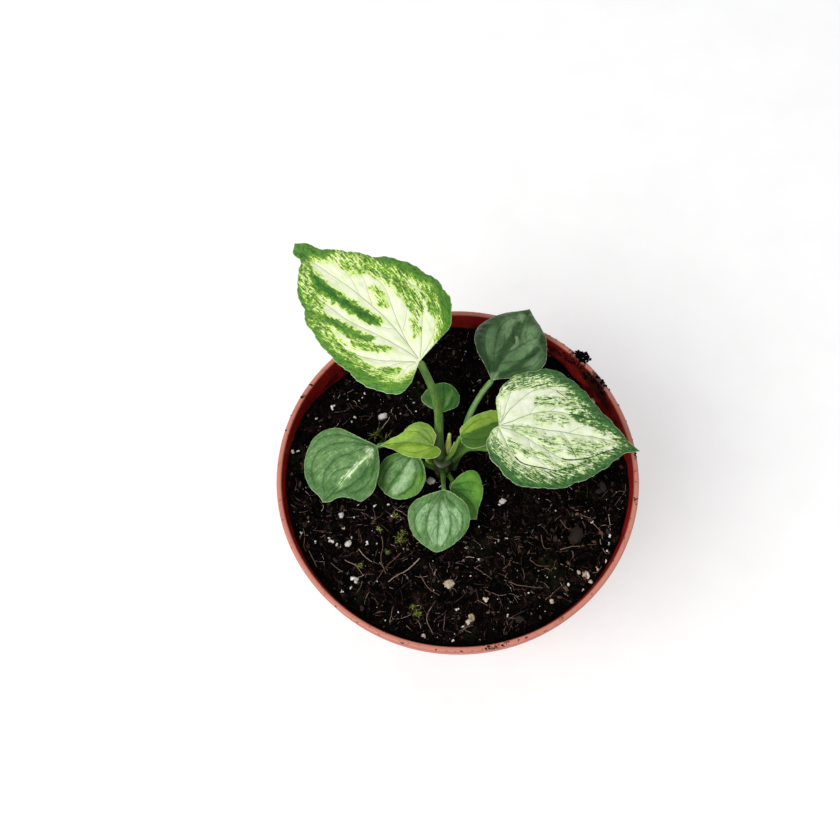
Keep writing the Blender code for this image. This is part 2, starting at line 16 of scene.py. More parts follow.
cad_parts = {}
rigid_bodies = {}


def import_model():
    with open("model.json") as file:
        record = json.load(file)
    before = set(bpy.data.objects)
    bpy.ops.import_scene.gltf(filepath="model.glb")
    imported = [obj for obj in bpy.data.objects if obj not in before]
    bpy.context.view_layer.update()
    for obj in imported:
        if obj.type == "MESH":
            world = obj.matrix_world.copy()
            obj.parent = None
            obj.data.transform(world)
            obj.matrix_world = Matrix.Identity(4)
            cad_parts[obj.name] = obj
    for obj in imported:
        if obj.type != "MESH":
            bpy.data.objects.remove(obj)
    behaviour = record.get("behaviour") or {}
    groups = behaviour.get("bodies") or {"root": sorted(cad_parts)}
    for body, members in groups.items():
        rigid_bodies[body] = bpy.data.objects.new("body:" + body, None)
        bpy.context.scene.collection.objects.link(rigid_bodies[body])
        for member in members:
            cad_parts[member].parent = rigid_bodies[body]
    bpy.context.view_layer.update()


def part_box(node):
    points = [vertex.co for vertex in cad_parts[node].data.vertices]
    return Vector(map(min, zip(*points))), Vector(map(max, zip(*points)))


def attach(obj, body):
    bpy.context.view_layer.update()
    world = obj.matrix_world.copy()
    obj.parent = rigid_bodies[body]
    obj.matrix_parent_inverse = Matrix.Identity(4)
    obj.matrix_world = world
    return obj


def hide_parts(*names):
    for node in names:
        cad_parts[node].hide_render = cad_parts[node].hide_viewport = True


MM = 0.001
FAR = 1e9  # further than any distance on the part
BESIDE_LIMIT = 60.0  # largest distance from a vein that a blade keeps, in half widths of the vein

# Camera, as the photograph was taken: how high it looks down, its roll, distance and what it aims at
CAMERA_ELEVATION = 67.2075
CAMERA_ROLL = -3.2605
CAMERA_DISTANCE = 360.0
CAMERA_AIM = (-11.2739, 18.8212, 95.0)
FOCAL_PIXELS = 1066.2378
FRAME_PIXELS = 840
SENSOR = 36.0

# Light and ground
KEY_PLACE = (-0.70, -0.52, 1.18)  # metres
KEY_AIM = (0, 0, 0.09)
KEY_SIZE = 0.9
KEY_POWER = 15.5
KEY_TINT = (1.0, 0.99, 0.975)
SKY_STRENGTH = 0.60
FLOOR_GLOW = 0.36
FLOOR_HALF_SIZE = 4000

# Pot and mix, as in the solids
POT_HEIGHT = 95.0
RIM_RADIUS = 60.0
LIP_WIDTH = 1.7
BAND_HEIGHT = 8.5
WALL = 1.3
BASE_RADIUS = 41.5
FLOOR = 2.8
PAD_RADIUS = 14.0
FOOT_WIDTH = 5.0
DRAIN_RECESS = 1.4
DRAIN_HOLES = 8
DRAIN_HOLE_RADIUS = 3.5
DRAIN_CIRCLE = 25.0
DRAIN_SLOTS = 4
DRAIN_SLOT_WIDTH = 6.0
SOIL_LEVEL = 89.2
EDGE_DEPTH = 4.3
EDGE_HOLLOWS = ((130.0, 17.0, 6.0), (28.0, 21.0, 6.0), (82.0, 20.0, 2.4))
EDGE_SLOPE = 11.0
SOIL_LUMP = 0.55
STEM_X, STEM_Y = -4.5, 3.0
STEM_RADIUS = 3.4
STEM_TOP = 99.2
CREASE = 2.0  # how softly the two halves of a blade meet

# Finer meshes than the solids have
POT_SIDES = 160
SOIL_SIDES, SOIL_RINGS = 380, 112
STALK_ROWS, STALK_SIDES = 46, 18
BLADE_HALF_THICKNESS = 0.17
SHEATH_THICKNESS, SHEATH_CURL = 0.12, 0.3
SHEATH_ROWS, SHEATH_COLUMNS = 26, 8

# Small things scattered over the mix: how many, how far from the pot's axis, and how clear of stem and wall
CRUMBS = (5200, 57.0, STEM_RADIUS + 0.5, 1.2)
SMALL_GRAINS = (230, 56.5, 5.0, 1.5)
SMALL_CHIPS = (150, 55.0, 6.0, -FAR)
SMALL_THREADS = (2500, 56.0, 0.0, -FAR)
ROOTS = 6

# Seeds of the random draws
NOISE_SEED = 1
CRUMB_SEED, GRAIN_SEED, CHIP_SEED, THREAD_SEED, MOSS_SEED, ROOT_SEED = 11, 23, 31, 17, 29, 4


class Leaf(NamedTuple):
    """One blade, with its outline from base to tip on either side, and the stalk that carries it."""

    base: tuple
    heading: float  # degrees, compass of the midrib from +X towards +Y
    pitch: float  # degrees, upwards
    length: float
    left: tuple
    right: tuple
    stalk: tuple  # points from the stem up to the blade's underside
    stalk_radii: tuple
    rows: int
    columns: int
    keel: float  # slope of each half, rising away from the midrib
    dome: float  # how far the margin droops at the widest place
    droop: float  # how far the tip bends down
    wave: float  # height of the margin's waves
    quilt: float  # how far the blade rises between its veins
    veins: tuple  # each: width, then the points that it passes
    vein_tone: tuple
    vein_mix: float
    tones: tuple  # ramp of (score, colour) from the palest marking to the deepest green
    ground: float  # score of the leaf's ground colour
    grain: float  # how strongly fine flecks break the markings up
    stalk_tone: tuple
    bow: float = 0.0  # how far the midrib curves to the left of the line from base to tip
    waves: float = 3.0
    lobes: float = 0.0  # scallops along each margin
    lobe_depth: float = 0.0
    pale: tuple = ()  # outline of the pale middle
    pale_soft: float = 1.5  # how ragged its edge is
    strokes: tuple = ()  # markings: score, half width, softness, then the points along them
    creases: tuple = ()  # veins that show dark, as veins
    puff: float = 1.0  # how far from a vein the blade still rises
    rough: float = 0.42


LEAVES = {
    "leaf_a": Leaf(
        base=(-10.4, 19, 140), heading=126.0, pitch=-11.4, length=68.7, bow=-2.4,
        left=((-1, 2.5), (-5.3, 7.5), (-5.2, 11.8), (0, 15.8), (7.5, 18.2), (16, 18.5), (26, 18.3),
              (35, 17.1), (43, 14.1), (51, 10.6), (57.3, 5.4), (60.8, 2.8), (65, 2.8)),
        right=((1.5, -3.2), (1.8, -8), (3.6, -14.5), (9, -19.7), (16, -22.2), (25, -22.8), (33, -20.2),
               (41, -16.6), (49, -11.8), (56, -6.6), (61, -4.3), (65.5, -2.8)),
        stalk=((-5.7, 3.6, 100.4), (-5.5, 7, 105.5), (-5.3, 11.6, 116), (-6.8, 15.2, 127),
               (-10.2, 18.8, 139.2)),
        stalk_radii=(1.6, 1.15), rows=170, columns=46,
        keel=0.10, dome=1.5, droop=3.0, wave=0.8, waves=4.0, lobes=9.0, lobe_depth=0.55,
        veins=(
            (0.30, (0.3, -0.2), (6.1, -1.1), (13.5, -1.9), (20.5, -2.4), (26.9, -2.3), (33.4, -2),
             (39.7, -1.6), (45.6, -0.8), (51.9, -0.1), (59.1, 0.6), (66.5, -0.3)),
            (0.22, (0.5, 0.1), (2.2, 0.1), (6.3, 0.7), (10.6, 1.7), (15.8, 3.1), (20.4, 4.5), (25, 6),
             (29.5, 7.1), (34.5, 7.5), (38.6, 8), (42.6, 8.2), (47.5, 7.9), (52.2, 6.4), (56.5, 3.6),
             (60.5, 1.1)),
            (0.2, (0.3, 0.6), (3.4, 3.8), (5.5, 6.1), (8.2, 8.7), (11.6, 11), (15.6, 12.8), (20.1, 14.3),
             (24.5, 15), (28.3, 14.7), (31.2, 14.2), (34.1, 12.9), (39.2, 11.5), (44.6, 10.3)),
            (0.16, (0.2, 1), (2.6, 3.6), (4, 6.2), (4.6, 9.2), (5.8, 11.5), (7.8, 14.7)),
            (0.12, (0.2, 1), (0.6, 4), (-0.6, 8), (-0.2, 12)),
            (0.2, (6.9, -1.3), (12, -2.7), (15.9, -4.1), (20.3, -5.7), (23.7, -7.1), (28.3, -8.9),
             (31.9, -9.6), (36.5, -9.5), (39.7, -8.7)),
            (0.2, (0.4, -0.5), (4.1, -3.9), (8.3, -7.5), (12.2, -10.8), (15.9, -13.8), (20.6, -16.8),
             (23.5, -16.8), (26.7, -15.2), (31.1, -13), (35.5, -11.8), (40.3, -10.2), (47, -6.6)),
            (0.14, (0.6, -0.9), (2.5, -5.6), (4.5, -9.2), (7.5, -12.1), (11.5, -14.8), (15.5, -17.6)),
            (0.1, (26.9, -2.3), (32, -4.4), (37, -6.6), (42, -7.6)),
            (0.1, (33.4, -2), (39, -3.6), (45, -4.8), (50.5, -4.4)),
            (0.1, (14.5, -1.9), (18, 0.4), (23, 2.8)),
            (0.1, (15.8, 3.1), (17.8, 5.6), (21, 8.6), (25, 11.4)),
            (0.1, (25, 6), (28, 9), (32, 11.6)),
            (0.1, (12, -2.7), (14.6, -6), (18.4, -9.6), (22.5, -12.4)),
        ),
        pale=((-2.3, 4.4), (-2.4, 8), (0.8, 11.6), (5.8, 12.7), (12.6, 13.7), (19.9, 14.6), (26.7, 14.5),
              (34.6, 13.2), (39.7, 11.3), (45.8, 8.8), (53.3, 5.3), (57, 2.4), (58.5, 0.2), (55, -2.3),
              (51.9, -6.3), (48.2, -10.9), (42, -13), (33.7, -15), (27.5, -17.3), (20.4, -19.2),
              (13.5, -16.9), (6.4, -13.2), (1.9, -8.5), (-1, -8), (-2.5, -3), (-3, 2)),
        pale_soft=2.8, ground=0.84,
        strokes=(
            (0.98, 0.6, 2.7, (55, 3.8), (50, 4.8), (44, 4.6), (38, 3.9), (32.6, 3), (26, 1.9), (21, 0.6)),
            (0.5, 1.4, 2.4, (57, 4.6), (51, 7.4), (45, 8.8), (39, 9.4)),
            (0.8, 0.5, 2.3, (35, 12.2), (30.5, 11), (26, 9.7), (21, 8.1), (17, 6.2)),
            (0.58, 0.6, 1.6, (19, 10.8), (15, 8.7), (11.6, 6.2), (9.8, 4.2)),
            (0.47, 1.6, 2.6, (52.5, -6.6), (47, -7.4), (41.5, -8.2)),
            (0.58, 1.3, 2.6, (42, -11.8), (35.3, -12.2), (31, -13), (27, -14.2)),
            (0.58, 1, 2.5, (27.5, -12.2), (23.3, -13.2), (18.5, -12.4), (14.5, -11)),
            (0.5, 0.4, 2, (15.9, -10.8), (12, -8), (8, -5)),
            (0.58, 0.7, 2, (20, -17.2), (15.9, -16.6), (10.5, -14.4)),
            (0.36, 0.8, 2.4, (33, -6.8), (28.5, -6.4), (24, -5)),
            (0.62, 0.6, 1.6, (4.4, 10.6), (2.4, 8.6), (1.6, 7.2)),
            (0.5, 0.6, 1.6, (36, 15), (28, 15.6), (20, 15.2), (12, 14.2), (5, 13.2)),
        ),
        tones=((0, (249, 255, 228)), (0.15, (246, 255, 210)), (0.28, (230, 250, 160)),
               (0.4, (200, 232, 104)), (0.5, (154, 198, 72)), (0.62, (112, 162, 54)), (0.84, (94, 148, 48)),
               (1, (50, 112, 40))),
        stalk_tone=(84, 120, 46), vein_tone=(150, 164, 132), vein_mix=0.85, quilt=0.38, puff=1.6, grain=1.9,
    ),
    "leaf_b": Leaf(
        base=(12.9, 3.3, 124), heading=-6.9, pitch=-13.8, length=47.6, bow=1.2,
        left=((-1, 5.5), (-1.1, 9.5), (1, 14), (5.5, 18.5), (11.5, 21), (18.5, 21.8), (24.2, 19.3), (30, 14),
              (35.5, 9.3), (40.3, 5.2), (43.2, 2.6)),
        right=((-2, -1.8), (-3.7, -6), (-2.5, -10.7), (2.3, -16), (8, -18.6), (15, -18.3), (21, -17),
               (27.5, -13.8), (34.7, -8.8), (38.5, -5), (42, -2)),
        stalk=((0.45, 3.25, 97.6), (3, 4.5, 103), (6.6, 3, 107.8), (10.6, 1, 111.6), (13.3, 1.3, 116.5),
               (13.5, 2.3, 120.4), (12.9, 3.1, 122.8)),
        stalk_radii=(1.4, 1.1), rows=150, columns=42,
        keel=0.08, dome=1.7, droop=3.5, wave=0.5, waves=5.0, lobes=13.0, lobe_depth=0.3,
        veins=(
            (0.28, (0, 0), (5.9, 0.7), (10.7, 1.1), (16.1, 1.1), (21.5, 1.3), (26.5, 1.3), (31.7, 1.5),
             (36, 1.4), (40.4, 1), (44, 0.9), (47.4, 0.1)),
            (0.22, (0.2, 0.2), (4.2, 2.1), (7.3, 4), (10.5, 5.6), (14.6, 7), (18.8, 7.7), (21.7, 7.6),
             (24.7, 6.4), (27.7, 5.3), (31.6, 5.2), (36, 3.9), (38.6, 2.8)),
            (0.2, (0.2, 0.4), (2.8, 5.2), (5.5, 8.5), (8.3, 11.5), (10.7, 13.5), (14.4, 15), (17.8, 15),
             (21.2, 15), (23.7, 13.5), (26.3, 11.9)),
            (0.14, (0, 0.6), (1.3, 3.7), (1.7, 6.2), (2.6, 9.7), (3.3, 12.8)),
            (0.1, (0, 0.6), (0.2, 4), (0, 7.5)),
            (0.22, (0.3, -0.4), (3.9, -0.9), (7.5, -2), (11.2, -3.9), (14.9, -5.4), (18.2, -6.9),
             (22.4, -7.8), (26.6, -6.9), (30.8, -5.3), (35.1, -2.8), (39.5, -0.6)),
            (0.2, (-0.1, -0.6), (1.1, -3), (2.8, -6.1), (4.9, -9.1), (7.4, -11.1), (11, -11.8), (15, -11.9),
             (18.3, -12), (22, -10.8), (26.2, -11.3)),
            (0.14, (-0.2, -0.6), (-0.8, -4.1), (-1.5, -6.8)),
            (0.1, (14, 1.1), (15.7, -0.8), (18, -2.4)),
            (0.12, (22.5, 1.3), (24.6, 2.6), (26.1, 3.5), (28.6, 4.8)),
            (0.12, (19.5, 1.2), (21.5, 0), (23.6, -3.4), (25.3, -6.9)),
            (0.1, (29.5, 1.4), (31.5, 0), (33.5, -3)),
            (0.1, (9.5, 5), (11.5, 8.4), (14.6, 12), (17.8, 15)),
            (0.1, (16.4, 7.4), (19, 10), (23, 12.6)),
            (0.1, (9.4, -3), (10.4, -6), (13, -9.4), (16.2, -11.9)),
            (0.1, (15.6, -5.8), (18, -9), (21.4, -11)),
        ),
        pale=((-2, 4), (-2.5, 9), (0.1, 12.3), (3.2, 15.8), (8.5, 18.2), (14.4, 18.2), (19.5, 17.4),
              (22.9, 15), (26.3, 12.8), (28.9, 9.6), (32.9, 6.3), (37.7, 3.4), (41.5, 1.2), (37.8, -2.3),
              (32.9, -6.4), (27.8, -10.4), (22.5, -12.9), (16.8, -15), (11.2, -15.6), (6, -14.4), (1.8, -11),
              (-1.5, -7.4), (-2.8, -3.8), (-2.6, 0)),
        creases=(
            (0.26, (20, -7.5), (22.4, -7.8), (26.6, -6.9), (30.8, -5.3), (35.1, -2.8), (39.5, -0.6)),
            (0.24, (5, -9.2), (7.4, -11.1), (11, -11.8), (15, -11.9), (18.3, -12), (22, -10.8),
             (26.2, -11.3)),
            (0.2, (23, -3), (23.9, -4.4), (25.3, -6.9)),
            (0.18, (18, 15), (20.6, 13.4), (22.4, 12.6), (25.4, 13)),
            (0.2, (22.4, 7.4), (25, 7.6), (28.6, 7)),
            (0.18, (26.2, 11.9), (28, 9.4), (31, 7.4)),
        ),
        pale_soft=3.8, ground=0.9,
        strokes=(
            (0.33, 1.2, 1.8, (22, 5), (16.7, 5.2), (11.5, 3.9)),
            (0.28, 1.2, 2, (12, -1.4), (8, -0.2), (4.5, 0)),
            (0.36, 1, 2, (3.4, -5), (5.4, -7.6)),
            (0.42, 0.9, 1.8, (8, -6.6), (11, -8.4)),
            (0.32, 1.8, 2.6, (14, -2.4), (20, -3.8), (28, -2.8), (34, -1)),
            (0.3, 0.8, 2, (12, -7.6), (17, -9.4), (22, -9.6)),
            (0.66, 0.7, 1.8, (24, 7.8), (27, 7), (30.5, 6), (34, 4.8)),
            (0.44, 0.8, 2, (12, 9.8), (17, 11), (21.5, 10.6), (25, 9.4)),
            (0.48, 1, 2.2, (3.6, 13.6), (7, 15.2), (10, 16.4), (16, 16.8)),
            (0.5, 0.7, 2, (-1.4, -6.2), (1, -9), (4, -11.8), (8, -13.4), (16, -13.8), (24, -10.8)),
            (0.42, 0.8, 1.8, (26, -9), (31, -5.6), (36, -2)),
        ),
        tones=((0, (250, 255, 234)), (0.18, (243, 255, 218)), (0.3, (222, 238, 182)),
               (0.42, (188, 212, 142)), (0.53, (122, 160, 90)), (0.64, (78, 124, 62)), (0.86, (62, 116, 52)),
               (1, (38, 86, 38))),
        stalk_tone=(84, 126, 46), vein_tone=(116, 146, 92), vein_mix=0.85, quilt=0.46, puff=1.4, grain=2.0,
    ),
    "leaf_c": Leaf(
        base=(12.9, 24.4, 112), heading=63.2, pitch=-13.5, length=37.4,
        left=((1.5, 1.6), (4, 3.8), (9, 8.5), (15, 12), (21, 13), (27, 10.2), (31.5, 6.2), (35, 2.2)),
        right=((1.5, -2.4), (4, -6), (9, -10.8), (14, -13), (20, -12.4), (26, -10), (30.5, -6.3),
               (34.3, -2.5)),
        stalk=((0.2, 2, 91), (1.9, 7.5, 97), (4.6, 14.8, 103.6), (9, 20.8, 108.7), (12.6, 24.1, 111.5)),
        stalk_radii=(1.15, 0.9), rows=100, columns=30, keel=0.12, dome=3.0, droop=3.5, wave=0.3,
        veins=(
            (0.34, (0, 0), (6.3, 0.4), (10.3, -0.1), (14.3, -0.9), (17.1, -1.8), (20.5, -1.7), (25.8, -1),
             (32.1, -0.3), (37, 0)),
            (0.28, (0.6, 0.2), (5.8, 1.6), (10.7, 3.4), (16.5, 4.9), (21.4, 5.8), (26.5, 5.2), (31, 2.6)),
            (0.26, (0.6, 0.5), (6, 3.7), (11, 6.8), (16.7, 9), (21.2, 9.7), (26, 8.2)),
            (0.3, (13.6, -0.8), (17, -2.7), (21.1, -4.4), (24.4, -6.4), (28, -6.6)),
            (0.3, (7, 0.2), (8.9, -1.6), (10.7, -3.9), (13, -6), (17.4, -8.7), (21.8, -9.8)),
            (0.26, (0.6, -0.2), (4, -2.6), (7.4, -6), (10.6, -8.8), (14.6, -10.6), (19, -10.9)),
            (0.24, (17.7, -1.7), (21.9, 0.9), (25.8, 1.9), (30.3, 1.6)),
            (0.2, (10.7, 3.4), (13.5, 1.8), (16.5, 2), (20.5, 3.4)),
            (0.18, (21.1, -4.4), (24.5, -3), (28.5, -2.6)),
        ),
        # partly painted light: the soft pale strokes between the veins are painted sheen on the bulges, and
        # the dark strokes painted shade in the folds and on the left; the pale midrib and base are the leaf's
        # own colour
        strokes=(
            (0.12, 0.32, 0.5, (15, -1.1), (17.4, -1.8), (19.6, -1.6), (21.4, -0.6)),
            (0.3, 0.5, 2, (0.6, 0), (5, 0.3), (10, 0.1)),
            (0.56, 0.8, 3.6, (6, -1.6), (12, -2.6), (18, -6)),
            (0.6, 0.6, 3, (9, 2.2), (14, 2.6), (20, 3)),
            (0.56, 0.6, 3.4, (9, 5.4), (15, 7), (20, 7.8)),
            (0.46, 1, 4.4, (13, -8.6), (20, -6.6), (26, -4)),
            (0.44, 0.6, 3.6, (22, 3), (27, 3.4), (31, 1.4)),
            (0.95, 1.4, 1.6, (26, -9.4), (22.5, -11.4)),
            (0.95, 0.5, 2.2, (4, 3), (10, 8.4), (16, 11.4), (22, 11.4)),
            (0.9, 0.2, 1.5, (4, 0.9), (12, 1), (20, 0.6), (28, 0.6)),
            (0.9, 0.2, 1.5, (3, -2.2), (9, -5.4), (14, -7.4), (20, -8.8)),
        ),
        ground=0.78,
        tones=((0, (196, 222, 146)), (0.3, (154, 186, 138)), (0.5, (110, 148, 100)), (0.74, (64, 104, 50)),
               (1, (28, 68, 24))),
        stalk_tone=(96, 136, 62), vein_tone=(38, 66, 34), vein_mix=0.5, quilt=1.7, puff=3.0, grain=0.3,
        rough=0.22,
    ),
    "leaf_d": Leaf(
        base=(-25.9, 7.4, 102.5), heading=-140.5, pitch=-13.6, length=25.7,
        left=((0.8, 1.5), (3.5, 5.2), (7, 8), (11.5, 10.5), (16, 9.8), (18, 6.2), (20.5, 3.3), (23.8, 1.8)),
        right=((0.5, -2), (2.3, -6.5), (4.5, -13), (8, -16.2), (13, -17.2), (18.5, -15.5), (23, -12),
               (25.3, -7), (25.2, -2.5)),
        stalk=((-8.5, 4.7, 93.5), (-12.3, 7.9, 98.2), (-18.5, 9, 101.3), (-25.4, 7.5, 101.9)),
        stalk_radii=(0.95, 0.8), rows=100, columns=34, keel=0.15, dome=1.8, droop=2.5, wave=0.5, waves=2.5,
        veins=(
            (0.2, (0, 0), (2.6, -0.6), (6.1, -0.5), (9.7, -0.3), (13.1, -0.3), (15.7, -0.1), (19.6, 0.3),
             (23.1, 0.2), (25.5, -0.4)),
            (0.36, (0.4, -0.4), (3, -2), (7.3, -4.4), (11.2, -6.2), (15.2, -6.9), (18.7, -6.2), (21.4, -4.1),
             (23.3, -1.4)),
            (0.36, (0.4, -0.6), (2.2, -3.2), (5.6, -7.6), (10.2, -11.2), (14.5, -12.7), (18.6, -12),
             (21.9, -9.3), (23.6, -5.6)),
            (0.24, (0.6, -0.8), (3.2, -6.8), (6.4, -12), (10.6, -15), (15, -15.2)),
            (0.34, (0.6, 0.2), (4.4, 1.6), (7.6, 3.2), (11, 3.8), (15, 3), (18.5, 1.8), (21.6, 0.4)),
            (0.34, (0.4, 0.4), (3.2, 2.9), (7.1, 5.9), (10.9, 7.1), (14.4, 6.4), (17, 4.6)),
            (0.2, (9.7, -0.3), (12.2, -2.2), (15.5, -3.8), (18.8, -3.6)),
        ),
        strokes=(
            (0.26, 0.3, 2, (2, -0.4), (9, -0.1), (14, 0.1), (18, 0.2)),
            (0.13, 0.4, 0.9, (2.2, -0.6), (6.5, -0.5), (9.7, -0.3), (12.6, -0.2), (14.6, 0)),
            (0.12, 0.35, 0.8, (3, 1), (5.4, 1.7)),
            (0.14, 0.35, 0.8, (2.6, -1.8), (5, -2.8)),
            (0.3, 0.2, 1, (4, -2.4), (6.6, -3.6), (9, -4.2)),
            (0.24, 0.2, 0.9, (4.6, 1.6), (6.8, 2.6)),
            (0.5, 1.4, 1.8, (5, -2.6), (11, -4), (17, -4)),
            (0.5, 1.8, 1.8, (5, -6), (10, -9.4), (16, -10), (20, -7.4)),
            (0.58, 1.3, 1.6, (5, -11), (9, -14), (15, -14.6), (20, -12)),
            (0.62, 1, 1.4, (8, 7.4), (12, 8.6), (15, 8.2)),
        ),
        ground=0.76,
        tones=((0, (242, 255, 226)), (0.16, (228, 248, 206)), (0.24, (142, 184, 106)), (0.4, (114, 154, 92)),
               (0.6, (96, 140, 78)), (0.8, (72, 120, 54)), (1, (40, 86, 34))),
        stalk_tone=(70, 116, 48), vein_tone=(40, 84, 38), vein_mix=0.64, quilt=0.8, puff=1.8, grain=0.95,
    ),
    "leaf_e": Leaf(
        base=(-13.9, 5.7, 98), heading=-131.2, pitch=-14.1, length=16.4,
        left=((-0.2, 2.3), (2, 6), (5, 8.5), (9, 9.1), (13, 7.3), (15.7, 3.8)),
        right=((1, -2.7), (4, -5.5), (8, -7.2), (12, -6.6), (15, -4.2)),
        stalk=((-8.55, 1.7, 92.4), (-10.8, 3, 94.9), (-13.5, 5.4, 96.8)),
        stalk_radii=(0.8, 0.65), rows=76, columns=24, keel=0.08, dome=1.2, droop=1.0, wave=0.2,
        veins=(
            (0.34, (0, 0), (2.8, 0), (6.8, -0.1), (10.8, -0.2), (14.6, 0), (16.2, 0.2)),
            (0.34, (0.3, 0.4), (2.1, 2.1), (4.7, 4.6), (7.9, 5.9), (11.4, 5.5), (14.4, 3.6)),
            (0.28, (0.3, -0.3), (3, -2.1), (6.9, -4.1), (10.9, -4.2), (14.2, -2.7)),
            (0.2, (0.2, 0.7), (1.6, 4.4), (4.6, 7.2), (8, 7.9)),
        ),
        strokes=(
            (0.26, 1.1, 1.8, (3.4, 1.4), (7, 2.6), (11, 2.9), (13.4, 2)),
            (0.5, 1, 1.4, (4, -1.6), (8, -2.4), (12, -1.8)),
            (0.92, 1.1, 1.4, (5, 7.4), (9, 7.6), (12.6, 6.2)),
        ),
        ground=0.74,
        tones=((0, (206, 232, 196)), (0.25, (162, 200, 146)), (0.5, (114, 158, 92)), (0.75, (80, 132, 50)),
               (1, (110, 162, 50))),
        stalk_tone=(74, 118, 46), vein_tone=(46, 90, 38), vein_mix=0.62, quilt=0.6, puff=1.6, grain=0.8,
    ),
    "leaf_f": Leaf(
        base=(-7.5, 2.9, 111), heading=170.4, pitch=-11.5, length=17.9,
        left=((-1.2, 0.3), (-2.8, 1.9), (-1.9, 3.9), (1, 4.8), (5, 4.6), (9.5, 3.5), (13.5, 1.3)),
        right=((-0.5, -2), (-0.5, -4), (2, -6.7), (5.5, -7.2), (8.8, -6), (11, -3.7), (14.5, -2.2)),
        stalk=((-8.9, 2.6, 95.6), (-9.6, 2.3, 100.5), (-8.6, 2.7, 106), (-7.9, 2.9, 110)),
        stalk_radii=(0.8, 0.65), rows=76, columns=20, keel=0.35, dome=0.0, droop=1.0, wave=0.2,
        veins=(
            (0.22, (-0.6, 0.2), (1.5, -0.3), (5.8, -1), (10.1, -1), (14.5, -0.6), (17.5, 0)),
            (0.16, (0.2, -0.4), (2.6, -2.6), (5.6, -4.4), (9, -4.4)),
            (0.16, (0.2, 0.3), (2.6, 1.6), (6, 2.4), (10, 1.8)),
            (0.12, (0, -0.6), (1.2, -3.2), (3, -5.4)),
        ),
        strokes=(
            (0.3, 1.2, 1.8, (2, 1.8), (6, 2.4), (10, 1.8)),
            (0.35, 0.8, 1.6, (7, -5), (10, -3.4), (14, -1.4)),
        ),
        ground=0.62,
        tones=((0, (176, 208, 84)), (0.4, (142, 178, 60)), (0.65, (116, 152, 46)), (1, (84, 124, 34))),
        stalk_tone=(120, 160, 54), vein_tone=(96, 138, 44), vein_mix=0.25, quilt=0.3, puff=1.6, grain=0.7,
        rough=0.36,
    ),
    "leaf_g": Leaf(
        base=(1.2, 4.4, 114), heading=18.6, pitch=5.3, length=16.3,
        left=((0.8, 2.2), (4, 3.7), (8.5, 4.4), (12.5, 3.9), (15.3, 2.2)),
        right=((-0.4, -2.4), (1.2, -5.4), (5, -6.8), (9, -5.7), (13, -3.2)),
        stalk=((-2.3, 1.9, 99.8), (-1.3, 2.6, 105), (0.3, 3.9, 110.6), (1.1, 4.4, 113.2)),
        stalk_radii=(0.8, 0.65), rows=76, columns=20, keel=0.45, dome=0.0, droop=1.0, wave=0.2,
        veins=(
            (0.24, (0, 0), (4, 0), (8, 0), (12.6, 0), (16, 0)),
            (0.14, (0.4, -0.4), (3.2, -2.6), (7, -4), (10.6, -3.2)),
            (0.14, (0.4, 0.4), (3.4, 1.8), (7.4, 2.6), (11, 2.2)),
        ),
        # painted light and shade: the back half of the folded blade is painted brighter and the front half
        # darker
        strokes=(
            (0.2, 2.2, 1.2, (1, 2.6), (5, 2.9), (9, 3), (14, 2.4)),
            (0.88, 2.4, 1.2, (1, -2.8), (5, -3.6), (9, -3.4), (13, -2.2)),
        ),
        ground=0.6,
        tones=((0, (160, 192, 70)), (0.4, (122, 162, 52)), (0.65, (88, 130, 42)), (1, (64, 106, 34))),
        stalk_tone=(96, 138, 48), vein_tone=(60, 102, 34), vein_mix=0.35, quilt=0.3, puff=1.6, grain=0.7,
        rough=0.38,
    ),
    "leaf_h": Leaf(
        base=(-4, 18.9, 101), heading=82.5, pitch=5.6, length=10.5,
        left=((0.2, 1.8), (2.3, 5.9), (4.5, 7.1), (7.2, 5.7), (9.5, 3.2)),
        right=((0.2, -1.5), (2, -4.9), (4.6, -5.8), (7.5, -4.9), (9.8, -2.4)),
        stalk=((-4.6, 7.15, 93), (-5.1, 11.3, 97), (-4.6, 16, 99.5), (-4.1, 18.6, 100.2)),
        stalk_radii=(0.75, 0.6), rows=56, columns=20, keel=0.1, dome=0.8, droop=0.8, wave=0.2,
        veins=(
            (0.24, (0, 0), (3, -0.4), (6, -0.6), (10, 0)),
            (0.2, (0.3, 0.4), (2.6, 2.8), (5.4, 3.6), (8.4, 2.4)),
            (0.2, (0.3, -0.4), (2.4, -2.8), (5, -3.6), (8.2, -2.2)),
        ),
        strokes=((0.25, 0.3, 0.7, (3, -1.6), (5.6, -2.4), (7.6, -2.8)),),
        ground=0.75,
        tones=((0, (130, 180, 104)), (0.4, (84, 136, 60)), (0.75, (66, 116, 44)), (1, (44, 88, 34))),
        stalk_tone=(70, 112, 46), vein_tone=(40, 80, 28), vein_mix=0.7, quilt=0.35, grain=0.8,
    ),
    "leaf_i": Leaf(
        base=(-4.9, -9.1, 103), heading=-101.0, pitch=-18.7, length=20.4,
        left=((0.4, 1.9), (2, 5.3), (4.5, 8.3), (8.5, 9.5), (12.5, 8.7), (16.5, 5.8), (19.2, 2.6)),
        right=((0.9, -2), (2.8, -6), (5.5, -9.5), (9.5, -10.5), (14, -9.1), (17.5, -6), (19.7, -2.1)),
        stalk=((-4.7, -1.35, 94.2), (-4.8, -4.4, 98.2), (-4.9, -7.2, 101), (-4.9, -8.9, 102)),
        stalk_radii=(0.85, 0.7), rows=90, columns=28, keel=0.1, dome=1.3, droop=1.8, wave=0.3,
        veins=(
            (0.32, (0.2, 0), (3.4, -0.6), (6.9, -0.8), (11.3, -0.4), (15.7, -0.1), (20.1, 0.1)),
            (0.3, (0.4, 0.2), (3.4, 0.5), (6.6, 2.3), (9.9, 3.6), (14.4, 3.3), (18.6, 1.5)),
            (0.26, (0.4, 0.4), (2.8, 1.8), (5, 4.7), (7.7, 7), (11.6, 7.3), (15.2, 5.4)),
            (0.3, (0.4, -0.3), (3.5, -1.5), (7.2, -3.3), (10.9, -4.3), (14.3, -3.6), (17.8, -1.6)),
